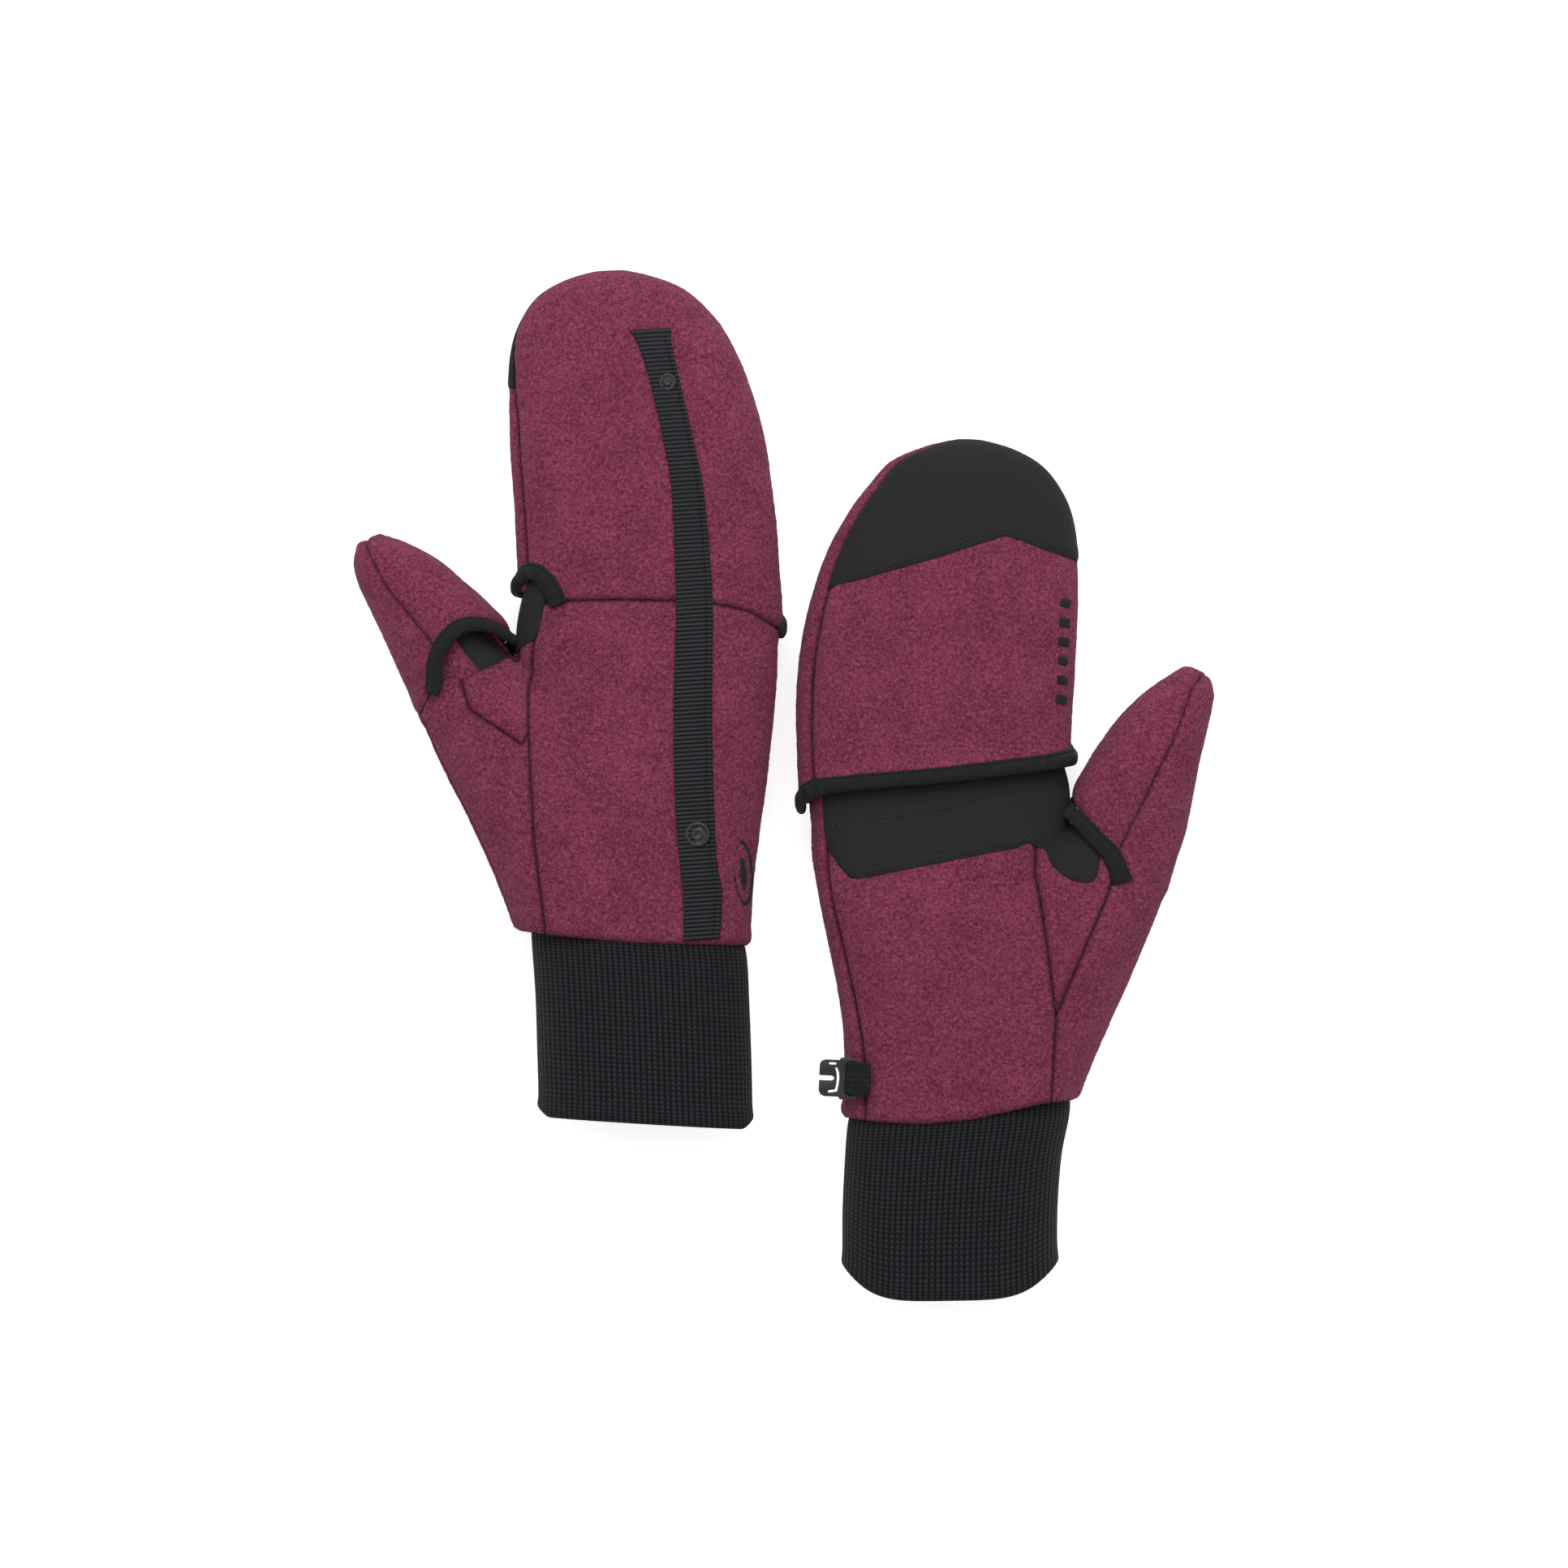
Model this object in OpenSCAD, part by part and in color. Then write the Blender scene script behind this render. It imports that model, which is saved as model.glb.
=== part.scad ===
// Convertible flip-top mittens: a pair of right-hand mittens laid flat.
// The first lies palm down, the second palm up. Each has a hood that folds
// back over the knuckles and a thumb cap that folds outwards.
// Every mitten is drawn in its own frame: x runs from the thumb side to the
// little finger, y runs to the finger tips with the hood's hinge at y = 0,
// and z runs from the palm to the back of the hand.

/* [Fabric] */
// Thickness of the fleece walls
fleece_wall = 2.7; // [2:0.1:3]
// Thickness of the suede patches
patch_wall = 0.9; // [0.6:0.1:1]
// Thickness of the doubled rib knit of the cuff
cuff_wall = 2.6; // [2:0.1:4]
// Length of the exposed binding on the hood's hem
hood_binding_w = 5; // [4:0.5:6]
// Length of the exposed binding on the thumb cap's hem
thumb_binding_w = 4; // [3:0.5:5]

/* [Tape and snaps] */
// Width of the woven tape over the back
tape_w = 12.4; // [9:0.2:16]
// Thickness of the woven tape
tape_t = 1.1; // [0.8:0.1:1.2]
// Distance of each snap from the hinge
snap_reach = 75; // [70:1:80]
// Outer diameter of the ring-shaped socket on the hand
socket_d = 8.5; // [7:0.5:11]
// Outer diameter of the stud on the hood
stud_d = 5.4; // [4.8:0.2:7]

/* [Clip] */
// Length of the clip's frame along the wrist
clip_w = 14.2; // [12:0.2:18]
// Thickness of the clip's plastic
clip_t = 2.2; // [2:0.1:3]
// Width of the ribbed webbing that holds the clip
webbing_w = 10; // [8:0.5:11]

/* [Pose of the pair] */
// Turn of the palm-down mitten on the table
down_turn = 3.8; // [0:0.1:6]
// Turn of the palm-up mitten on the table
up_turn = -2.5; // [-6:0.1:0]

/* [Hidden] */

fleece = [0.46, 0.2, 0.32];
suede = [0.17, 0.16, 0.15];
tape = [0.16, 0.17, 0.18];
knit = [0.12, 0.12, 0.14];
plastic = [0.08, 0.08, 0.09];

back_z = 37;                       // flat back of the hand, where the tape lies
snap_t = 0.9;                      // how far a snap stands out of the tape
down_at = [-33.6, 58.2, 0.8];      // hinge's middle, palm-down mitten
up_at = [38.4, 0.6, back_z + tape_t + snap_t];
ring_points = 20;
round_power = 2.4;                 // 2 is an ellipse, more is boxier
tall = 200;                        // a height that goes right through

// Rows run from the tip to the wrist:
// [thumb side x, y, little finger side x, y, lowest z, highest z].
down_hood_rows = [
    [-22, 113.8, -13, 113.8, 13, 19], [-32, 111.4, -4, 111.4, 10, 24],
    [-41.5, 106.4, 7.2, 106.4, 6.5, 27.5], [-47.8, 98, 15.8, 98, 3.5, 30.5],
    [-51.2, 88, 21.8, 88, 1.5, 32.5], [-53, 74, 26.8, 74, 0.4, 34.5],
    [-53.8, 58, 30.5, 58, 0, 36], [-53.8, 40, 32.3, 40, 0, 36.8],
    [-54, 20, 33, 20, 0, 37], [-55, 0, 33, 0, 0, 37], [-55, -14, 32, -14, 0, 37]];
up_hood_rows = [
    [-23, 114.4, -12, 114.4, 18, 24], [-33.5, 111.6, -3.5, 111.6, 13, 27],
    [-43, 106.4, 7.6, 106.4, 9, 30], [-49.8, 98, 14.8, 98, 6, 32],
    [-53.8, 88, 21.5, 88, 3.5, 33.5], [-56, 74, 28, 74, 1.5, 35],
    [-56.8, 58, 32.5, 58, 0.5, 36.3], [-56.7, 40, 35.2, 40, 0, 36.8],
    [-56.4, 20, 35.4, 20, 0, 37], [-56.8, 0, 33.8, 0, 0, 37], [-56.8, -14, 32, -14, 0, 37]];
down_hand_rows = [
    [-50, 16, 28.3, 16, 9, 31], [-49.8, -0.5, 27.4, -0.5, 7, 36.9],
    [-50.6, -14, 28.2, -14, 6.4, 37], [-53, -26, 29.4, -26, 2.6, 37],
    [-55, -40, 27.4, -40, 0, 37], [-57, -58, 24.3, -58, 0, 37],
    [-58.5, -75, 20.8, -75, 0, 36.9], [-60, -92, 17.5, -92, -0.4, 36.8],
    [-61, -116, 14.6, -116, -0.8, 36.8]];
up_hand_rows = [
    [-51, 16, 28.8, 16, 9, 31], [-51, -0.5, 28, -0.5, 7, 36.9],
    [-52, -14, 28.4, -14, 6.4, 37], [-54, -26, 28, -26, 2.6, 37],
    [-56, -40, 25, -40, 0, 37], [-57.5, -58, 20.5, -58, 0, 37],
    [-59, -75, 16.5, -75, 0, 36.9], [-60.5, -92, 13.8, -92, 0.4, 37],
    [-62, -116, 12.8, -116, 0.8, 38]];
down_thumb_rows = [
    [-106.5, 29, -99, 31.6, 13, 21], [-108.3, 23, -90, 28, 9, 26],
    [-107.5, 16, -80.5, 22, 5, 30], [-104.8, 9, -73, 15, 2.5, 32.5],
    [-101, -0.5, -65.5, 7.5, 0.8, 34.5], [-97, -11, -59, -0.5, 0.2, 35.6],
    [-92.7, -23, -55.5, -9, -0.2, 36], [-87.3, -37, -48, -20, -0.2, 36.4]];
up_thumb_rows = [
    [-101.5, 40, -93.5, 43, 18, 26], [-103.2, 34, -84.5, 37, 13, 30],
    [-102.3, 26.5, -77, 30.5, 9, 34], [-100.8, 18, -70, 22, 6, 36.5],
    [-99, 8, -63.5, 11.5, 4, 37.8], [-97.2, -5, -58.5, 1.5, 3, 38.2],
    [-94.5, -18, -56, -8, 3, 38.4], [-88.5, -37, -49, -20, 2.6, 38.4]];
down_base_rows = [
    [-97, 5, -78, 14, 8, 29], [-91, -12, -67, 0, 5.8, 31], [-85.2, -28, -58.5, -13, 5.4, 31.6],
    [-86, -35, -50, -20, 1.8, 35.4], [-82.3, -48, -38, -36, 0, 36.6],
    [-75.5, -65, -30, -55, 0, 36.8], [-68, -85, -22, -78, -0.4, 36.8],
    [-61.8, -106, -18, -112, -0.8, 36.8]];
up_base_rows = [
    [-97, 5, -79, 14, 12, 33], [-91, -12, -67.5, 0, 9, 34], [-84.8, -28, -59, -13, 8.4, 34.2],
    [-86, -35, -50, -20, 3.4, 36.6], [-84.4, -48, -38, -36, 0.4, 37.2],
    [-78, -65.5, -30, -55, 0, 37.2], [-70, -85, -22, -78, 0.4, 37.4],
    [-62.5, -106, -18, -112, 0.8, 38]];
down_cuff_rows = [
    [-57.2, -90, 11.2, -98, 2.8, 33.6], [-57.4, -104.4, 11.4, -112.2, 2.8, 33.6],
    [-57.6, -108, 13.4, -116.5, 0.4, 35.6], [-57.6, -125, 13.2, -134, -0.4, 36], [-58.3, -145, 12.6, -154, -0.8, 36],
    [-58.9, -164, 11.7, -173, -0.8, 36]];
up_cuff_rows = [
    [-58, -90, 9.6, -98, 4, 34.8], [-58.4, -104.4, 9.8, -112.2, 4, 34.8],
    [-58.8, -108, 12.4, -115.5, 2.4, 37.6], [-58.8, -125, 12.4, -131, 2, 38.6], [-58.8, -145, 12, -151, 2.6, 39],
    [-59.3, -168, 11.6, -173, 3, 39]];

hinge_gap = 0.6;                   // each panel stops this far from the hinge
hem = [[60, -9], [30, -5], [0, 0], [-57, 10], [-90, 10]];
cap_hinge = [-91.6, -30.5];        // upright axis at the thumb's outer side
// Hem of the thumb cap over the back and over the palm, from the hinge inwards.
cap_hem_back = [[-140, -28], [-91, -26], [-86, -15], [-80.6, -5.3], [-73.5, 0.2], [-65, -0.4], [-50, -8]];
cap_hem_palm = [[-140, -29.4], [-91, -29.4], [-79, -28.6], [-73, -22.6], [-66, -16], [-57, -4.6], [-48, -2]];
base_rim_back = [[-140, -34], [-94, -31], [-86, -26.5], [-75, -19], [-66, -15], [-50, -8]];
cap_seam = [[-107, 35], [-98, 14], [-83.4, -6.4], [-72, -20]];
gusset_top = [-47, -20];
gusset_point = [-55, -75];

function eased(v) = sign(v) * pow(abs(v), 2 / round_power);

// Closed ring of points for one row.
function ring(row) =
    [for (k = [0 : ring_points - 1])
        let (across = eased(cos(360 * k / ring_points)), up = eased(sin(360 * k / ring_points)))
        [(row[0] + row[2]) / 2 + (row[2] - row[0]) / 2 * across,
         (row[1] + row[3]) / 2 + (row[3] - row[1]) / 2 * across,
         (row[4] + row[5]) / 2 + (row[5] - row[4]) / 2 * up]];

// Rows moved outwards by g, or inwards where g is negative.
function grown(rows, g) =
    let (n = len(rows),
         line = [for (i = [n - 1 : -1 : 0]) [rows[i][0], rows[i][1]],
                 for (i = [0 : n - 1]) [rows[i][2], rows[i][3]]],
         moved = [for (j = [0 : 2 * n - 1])
                     let (step = line[min(j + 1, 2 * n - 1)] - line[max(j - 1, 0)])
                     line[j] + g * [-step.y, step.x] / norm(step)])
    [for (i = [0 : n - 1])
        [moved[n - 1 - i].x, moved[n - 1 - i].y, moved[n + i].x, moved[n + i].y,
         rows[i][4] - g, rows[i][5] + g]];

module link(a, b) {
    n = ring_points;
    hull() polyhedron(
        points = concat(a, b),
        faces = concat([[for (k = [0 : n - 1]) k]], [[for (k = [n - 1 : -1 : 0]) n + k]],
                       [for (k = [0 : n - 1]) [k, n + k, n + (k + 1) % n, (k + 1) % n]]));
}

// Solid form through all the rows.
module form(rows, g = 0) {
    fat = grown(rows, g);
    for (i = [0 : len(rows) - 2]) link(ring(fat[i]), ring(fat[i + 1]));
}

module wall(rows, outside, inside) {
    difference() {
        form(rows, outside);
        form(rows, inside);
    }
}

// Upright prism over a plan outline.
module zone(outline) {
    translate([0, 0, -tall / 2]) linear_extrude(tall) polygon(outline);
}

// Everything on the tip's side of a line across the mitten.
module beyond(line) {
    zone(concat([[line[0].x, 300]], line, [[line[len(line) - 1].x, 300]]));
}

// Half space above the seam plane, which falls from the thumb side to the little finger.
module above(slope, shift = 0) {
    translate([31, 0, 8 + shift]) rotate([0, atan(slope), 0])
        translate([-tall, -tall, 0]) cube([2 * tall, 2 * tall, tall]);
}

module back_half() {
    translate([-tall, -tall, 18.5]) cube([2 * tall, 2 * tall, tall]);
}

function shifted(line, dy) = [for (p = line) p + [0, dy]];

function hood_of(up) = up ? up_hood_rows : down_hood_rows;
function hand_of(up) = up ? up_hand_rows : down_hand_rows;
function thumb_of(up) = up ? up_thumb_rows : down_thumb_rows;
function base_of(up) = up ? up_base_rows : down_base_rows;
function cuff_of(up) = up ? up_cuff_rows : down_cuff_rows;

// ---- Hood ----

module hood_back(up) {
    intersection() {
        wall(hood_of(up), 0, -fleece_wall);
        above(0.235);
        translate([-tall, hinge_gap, -tall]) cube(2 * tall);
    }
}

module hood_palm(up) {
    difference() {
        intersection() {
            wall(hood_of(up), 0, -fleece_wall);
            beyond(shifted(hem, hood_binding_w));
        }
        above(0.235);
    }
}

module tip_patch(up) {
    difference() {
        intersection() {
            wall(hood_of(up), patch_wall, 0);
            beyond([[60, 60], [25, 63.5], [-9, 74], [-31, 83], [-56, 75], [-90, 74]]);
        }
        above(0.235, 0.4);
    }
}

module hood_binding(up) {
    difference() {
        intersection() {
            wall(hood_of(up), 0.8, -fleece_wall - 0.8);
            beyond(hem);
        }
        beyond(shifted(hem, hood_binding_w));
        translate([-tall, -tall, 24]) cube(2 * tall);
    }
}

// Strip of tape along the back: ends are distances along y.
module tape_strip(rows, from, to) {
    intersection() {
        wall(rows, tape_t, 0);
        translate([-tape_w / 2 + 2, from, back_z / 2]) cube([tape_w, to - from, back_z]);
    }
}

module hood_tape(up) {
    tape_strip(hood_of(up), hinge_gap, 93);
}

module snap_stud(up) {
    top = (up ? 35 : 34.5) + tape_t;
    translate([0, snap_reach, top - 0.3]) difference() {
        cylinder(h = snap_t + 0.3, d = stud_d, $fn = 40);
        translate([0, 0, 0.5]) cylinder(h = snap_t + 1, d = stud_d - 2, $fn = 40);
    }
}

// ---- Hand ----

module hand_form(up, g) {
    form(hand_of(up), g);
    form(base_of(up), g);
}

module hand_cloth(up) {
    difference() {
        intersection() {
            hand_form(up, 0);
            beyond([[60, -114.5], [20, -112.6], [-66, -103], [-110, -103]]);
        }
        hand_form(up, -fleece_wall);
        // mouths for the fingers and for the thumb
        translate([-tall, -hinge_gap, 14]) cube(2 * tall);
        translate([-tall, 10, -tall]) cube(2 * tall);
        intersection() {
            back_half();
            beyond(base_rim_back);
            zone([[-130, -60], [-53.5, -60], [-53.5, 60], [-130, 60]]);
        }
        translate([cap_hinge.x, cap_hinge.y, -tall]) difference() {
            cylinder(h = 2 * tall, r = 80, $fn = 64);
            cylinder(h = 2 * tall, r = 35, $fn = 64);
            translate([36.5, -tall, 0]) cube(2 * tall);
            translate([-tall, -tall - 20, 0]) cube([2 * tall, tall, 2 * tall]);
        }
    }
}

module hand_back(up) {
    intersection() {
        hand_cloth(up);
        above(0.335);
    }
}

module below_back(up) {
    difference() {
        hand_cloth(up);
        above(0.335);
    }
}

module hand_palm(up) {
    intersection() {
        below_back(up);
        zone([[80, 60], [-47, 60], gusset_top, [-50, -40], gusset_point, [-55, -140], [80, -140]]);
    }
}

module thumb_gusset(up) {
    intersection() {
        below_back(up);
        zone([[-47, 60], gusset_top, [-50, -40], gusset_point, [-70, -35], [-74, -20], [-74, 60]]);
    }
}

module thumb_base(up) {
    intersection() {
        below_back(up);
        zone([[-140, 60], [-74, 60], [-74, -20], [-70, -35], gusset_point, [-55, -140], [-140, -140]]);
    }
}

module finger_stalls(up) {
    width = 18.4;
    first = up ? -39.6 : -38.8;
    outline = [for (k = [0 : 19]) [eased(cos(18 * k)), eased(sin(18 * k))]];
    intersection() {
        translate([0, 0, 19.6]) rotate([90, 0, 0]) union() {
            for (finger = [0 : 3]) translate([first + finger * width, 0, -30])
                linear_extrude(30) difference() {
                    polygon([for (p = outline) [9.1 * p.x, 10.4 * p.y]]);
                    polygon([for (p = outline) [7.5 * p.x, 8.8 * p.y]]);
                }
            // web that joins the stalls to the hand
            linear_extrude(1.6) difference() {
                polygon([for (p = outline) [first + 1.5 * width + 36.4 * p.x, 2.2 + 12 * p.y]]);
                for (finger = [0 : 3])
                    polygon([for (p = outline) [first + finger * width + 7.5 * p.x, 8.8 * p.y]]);
            }
        }
        // slanted mouths, longer over the back of each finger
        rotate([90, 0, 90]) translate([0, 0, -tall]) linear_extrude(2 * tall)
            polygon([[-5, 0], [7, 0], [8, 9], [25, 31], [25, 60], [-5, 60]]);
    }
}

module palm_patch(up) {
    intersection() {
        difference() {
            hand_form(up, patch_wall);
            hand_form(up, 0);
        }
        zone([[26, 9], [26, -8], [23, -24], [17, -32], [8, -31], [-12, -27], [-40, -20], [-48, -20],
              [-53, -26], [-60, -30], [-65, -30], [-69, -24], [-70, -14], [-58, 2], [-49, 9]]);
        translate([-tall, -tall, -tall]) cube([2 * tall, 2 * tall, tall + 17]);
    }
}

module rib_cuff(up) {
    rows = cuff_of(up);
    end = rows[len(rows) - 1];
    intersection() {
        wall(rows, 0, -cuff_wall);
        beyond([[60, end[3] - 4], [end[2], end[3] + 0.5], [end[0], end[1] + 0.5], [-100, end[1] + 5]]);
        zone([[-90, -97], [60, -105], [60, -240], [-90, -240]]);
    }
}

module hand_tape(up) {
    tape_strip(hand_of(up), -111, -hinge_gap);
}

module snap_socket(up) {
    translate([0, -snap_reach, back_z + tape_t - 0.3]) difference() {
        cylinder(h = snap_t + 0.3, d = socket_d, $fn = 48);
        translate([0, 0, 0.3]) cylinder(h = snap_t + 1, d = 5.5, $fn = 48);
    }
}

// ---- Thumb cap ----

module cap_zone() {
    intersection() {
        back_half();
        beyond(cap_hem_back);
    }
    difference() {
        beyond(cap_hem_palm);
        back_half();
    }
}

module cap_cloth(up) {
    intersection() {
        wall(thumb_of(up), 0, -fleece_wall);
        union() {
            intersection() {
                back_half();
                beyond(shifted(cap_hem_back, thumb_binding_w));
            }
            difference() {
                beyond(shifted(cap_hem_palm, thumb_binding_w));
                back_half();
            }
        }
        zone([[-120, 60], [-120, -29], [-40, -29], [-40, 60]]);
    }
}

module cap_outer_zone() {
    zone(concat([[-140, 60]], cap_seam, [[-72, -80], [-140, -80]]));
}

module thumb_cap_outer(up) {
    intersection() {
        cap_cloth(up);
        cap_outer_zone();
    }
}

module thumb_cap_inner(up) {
    difference() {
        cap_cloth(up);
        cap_outer_zone();
    }
}

module thumb_binding(up) {
    difference() {
        intersection() {
            wall(thumb_of(up), 0.5, -fleece_wall - 0.5);
            cap_zone();
        }
        intersection() {
            back_half();
            beyond(shifted(cap_hem_back, thumb_binding_w));
        }
        difference() {
            beyond(shifted(cap_hem_palm, thumb_binding_w));
            back_half();
        }
    }
}

// ---- Clip on the palm-up mitten's wrist ----

bar_at = [12, -98.8, 4];
bar_d = 2.6;

module webbing_loop() {
    eye = bar_d / 2 + 0.3;
    translate([bar_at.x, bar_at.y + webbing_w / 2, bar_at.z]) rotate([90, 0, 0])
        linear_extrude(webbing_w) difference() {
            union() {
                circle(r = eye + 1.1, $fn = 40);
                translate([-9, -eye - 1.1]) square([9, 2.2]);
                translate([-10.5, -eye - 1.1]) square([3.5, 4.4]);
            }
            circle(r = eye, $fn = 40);
        }
}

module clip_body() {
    cheek_w = 1.8;
    cross_x = 3.2;
    plate_x = 4.6;
    plate_end = 10.5;
    translate([bar_at.x, bar_at.y, bar_at.z]) {
        // crossbar held in the webbing
        translate([0, clip_w / 2 - 1, 0]) rotate([90, 0, 0])
            cylinder(h = clip_w - 2, d = bar_d, $fn = 40);
        // cheeks beside the bar, cross piece and slotted hook plate
        for (side = [-1, 1])
            translate([-cheek_w, side * (clip_w - cheek_w) / 2 - cheek_w / 2, -clip_t / 2])
                cube([cheek_w + cross_x + 0.1, cheek_w, clip_t]);
        translate([cross_x, -clip_w / 2, -clip_t / 2]) cube([1.6, clip_w, clip_t]);
        translate([plate_x, 0, -clip_t / 2]) linear_extrude(clip_t) difference() {
            translate([0, -5.9]) square([plate_end - plate_x, 11.8]);
            translate([1.7, -0.95]) square([5, 1.9]);
            for (side = [-1, 1]) translate([1.7, side * 3.2 - 0.6]) square([2.6, 1.2]);
        }
    }
}

// ---- Places and colours ----

module place_down() {
    translate(down_at) rotate([0, 0, down_turn]) children();
}

module place_up() {
    translate(up_at) rotate([0, 0, up_turn]) rotate([0, 180, 0]) children();
}

module down_hand_back() { color(fleece) place_down() hand_back(false); }
module down_hand_palm() { color(fleece) place_down() hand_palm(false); }
module down_thumb_gusset() { color(fleece) place_down() thumb_gusset(false); }
module down_thumb_base() { color(fleece) place_down() thumb_base(false); }
module down_finger_stalls() { color(knit) place_down() finger_stalls(false); }
module down_palm_patch() { color(suede) place_down() palm_patch(false); }
module down_rib_cuff() { color(knit) place_down() rib_cuff(false); }
module down_hand_tape() { color(tape) place_down() hand_tape(false); }
module down_snap_socket() { color(plastic) place_down() snap_socket(false); }
module down_hood_back() { color(fleece) place_down() hood_back(false); }
module down_hood_palm() { color(fleece) place_down() hood_palm(false); }
module down_tip_patch() { color(suede) place_down() tip_patch(false); }
module down_hood_binding() { color(tape) place_down() hood_binding(false); }
module down_hood_tape() { color(tape) place_down() hood_tape(false); }
module down_snap_stud() { color(plastic) place_down() snap_stud(false); }
module down_thumb_cap_outer() { color(fleece) place_down() thumb_cap_outer(false); }
module down_thumb_cap_inner() { color(fleece) place_down() thumb_cap_inner(false); }
module down_thumb_binding() { color(tape) place_down() thumb_binding(false); }
module up_hand_back() { color(fleece) place_up() hand_back(true); }
module up_hand_palm() { color(fleece) place_up() hand_palm(true); }
module up_thumb_gusset() { color(fleece) place_up() thumb_gusset(true); }
module up_thumb_base() { color(fleece) place_up() thumb_base(true); }
module up_finger_stalls() { color(knit) place_up() finger_stalls(true); }
module up_palm_patch() { color(suede) place_up() palm_patch(true); }
module up_rib_cuff() { color(knit) place_up() rib_cuff(true); }
module up_hand_tape() { color(tape) place_up() hand_tape(true); }
module up_snap_socket() { color(plastic) place_up() snap_socket(true); }
module up_hood_back() { color(fleece) place_up() hood_back(true); }
module up_hood_palm() { color(fleece) place_up() hood_palm(true); }
module up_tip_patch() { color(suede) place_up() tip_patch(true); }
module up_hood_binding() { color(tape) place_up() hood_binding(true); }
module up_hood_tape() { color(tape) place_up() hood_tape(true); }
module up_snap_stud() { color(plastic) place_up() snap_stud(true); }
module up_thumb_cap_outer() { color(fleece) place_up() thumb_cap_outer(true); }
module up_thumb_cap_inner() { color(fleece) place_up() thumb_cap_inner(true); }
module up_thumb_binding() { color(tape) place_up() thumb_binding(true); }
module clip_webbing() { color(tape) place_up() webbing_loop(); }
module clip() { color(plastic) place_up() clip_body(); }

down_hand_back();
down_hand_palm();
down_thumb_gusset();
down_thumb_base();
down_finger_stalls();
down_palm_patch();
down_rib_cuff();
down_hand_tape();
down_snap_socket();
down_hood_back();
down_hood_palm();
down_tip_patch();
down_hood_binding();
down_hood_tape();
down_snap_stud();
down_thumb_cap_outer();
down_thumb_cap_inner();
down_thumb_binding();
up_hand_back();
up_hand_palm();
up_thumb_gusset();
up_thumb_base();
up_finger_stalls();
up_palm_patch();
up_rib_cuff();
up_hand_tape();
up_snap_socket();
up_hood_back();
up_hood_palm();
up_tip_patch();
up_hood_binding();
up_hood_tape();
up_snap_stud();
up_thumb_cap_outer();
up_thumb_cap_inner();
up_thumb_binding();
clip_webbing();
clip();
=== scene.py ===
import bpy
import bmesh
import math
import numpy as np
from mathutils import Matrix, Vector, noise
from mathutils.bvhtree import BVHTree


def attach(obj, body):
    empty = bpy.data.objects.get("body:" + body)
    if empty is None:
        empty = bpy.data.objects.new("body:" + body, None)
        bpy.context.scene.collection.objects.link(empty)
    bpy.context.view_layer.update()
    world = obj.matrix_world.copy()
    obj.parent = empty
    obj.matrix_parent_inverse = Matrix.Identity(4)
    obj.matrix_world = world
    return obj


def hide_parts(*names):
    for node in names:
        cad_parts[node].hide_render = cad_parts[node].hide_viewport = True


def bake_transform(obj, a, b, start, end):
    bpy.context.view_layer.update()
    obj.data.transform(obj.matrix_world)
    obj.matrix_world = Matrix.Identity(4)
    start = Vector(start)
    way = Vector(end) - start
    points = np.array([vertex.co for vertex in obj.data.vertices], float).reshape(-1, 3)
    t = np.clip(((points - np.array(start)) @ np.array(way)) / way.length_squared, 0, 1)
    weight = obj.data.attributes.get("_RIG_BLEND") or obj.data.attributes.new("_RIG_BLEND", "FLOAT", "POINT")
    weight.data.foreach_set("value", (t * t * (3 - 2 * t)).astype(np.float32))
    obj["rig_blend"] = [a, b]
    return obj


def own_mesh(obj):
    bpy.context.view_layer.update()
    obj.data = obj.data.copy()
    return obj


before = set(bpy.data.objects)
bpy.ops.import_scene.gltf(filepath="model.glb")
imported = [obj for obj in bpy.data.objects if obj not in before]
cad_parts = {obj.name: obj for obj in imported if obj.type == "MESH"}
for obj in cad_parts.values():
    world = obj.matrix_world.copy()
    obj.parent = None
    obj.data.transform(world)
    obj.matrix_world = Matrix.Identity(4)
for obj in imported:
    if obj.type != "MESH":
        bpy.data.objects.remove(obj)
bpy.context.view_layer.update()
scene = bpy.context.scene

# Each mitten is shaped in its own millimetres: x from the thumb side to the
# little finger, y to the finger tips with the hood's hinge at 0, z from palm
# to back. These matrices lay it on the table, palm down or palm up.
placement = {
    "down": Matrix.Translation((-0.0336, 0.0582, 0.0008)) @ Matrix.Rotation(math.radians(3.8), 4, "Z"),
    "up": Matrix.Translation((0.0384, 0.0006, 0.039)) @ Matrix.Rotation(math.radians(-2.5), 4, "Z")
    @ Matrix.Rotation(math.radians(180), 4, "Y"),
}
millimetre = Matrix.Scale(0.001, 4)


def onTable(side, point):
    return tuple(placement[side] @ millimetre @ Vector(point))


# camera straight above, soft light from three sides
camera = {"height": 3.0, "seen": 0.5216, "sensor": 36.0, "plane": 0.02}
camData = bpy.data.cameras.new("camera")
camData.sensor_width = camera["sensor"]
camData.lens = camera["sensor"] * (camera["height"] - camera["plane"]) / camera["seen"]
camObject = bpy.data.objects.new("camera", camData)
camObject.location = (0, 0, camera["height"])
camData.clip_end = 20
scene.collection.objects.link(camObject)
scene.camera = camObject


def areaLight(name, place, size, watts, colour=(1, 1, 1)):
    data = bpy.data.lights.new(name, "AREA")
    data.size = size
    data.energy = watts
    data.color = colour
    lamp = bpy.data.objects.new(name, data)
    lamp.location = place
    lamp.rotation_euler = (-Vector(place)).to_track_quat("-Z", "Y").to_euler()
    scene.collection.objects.link(lamp)


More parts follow.
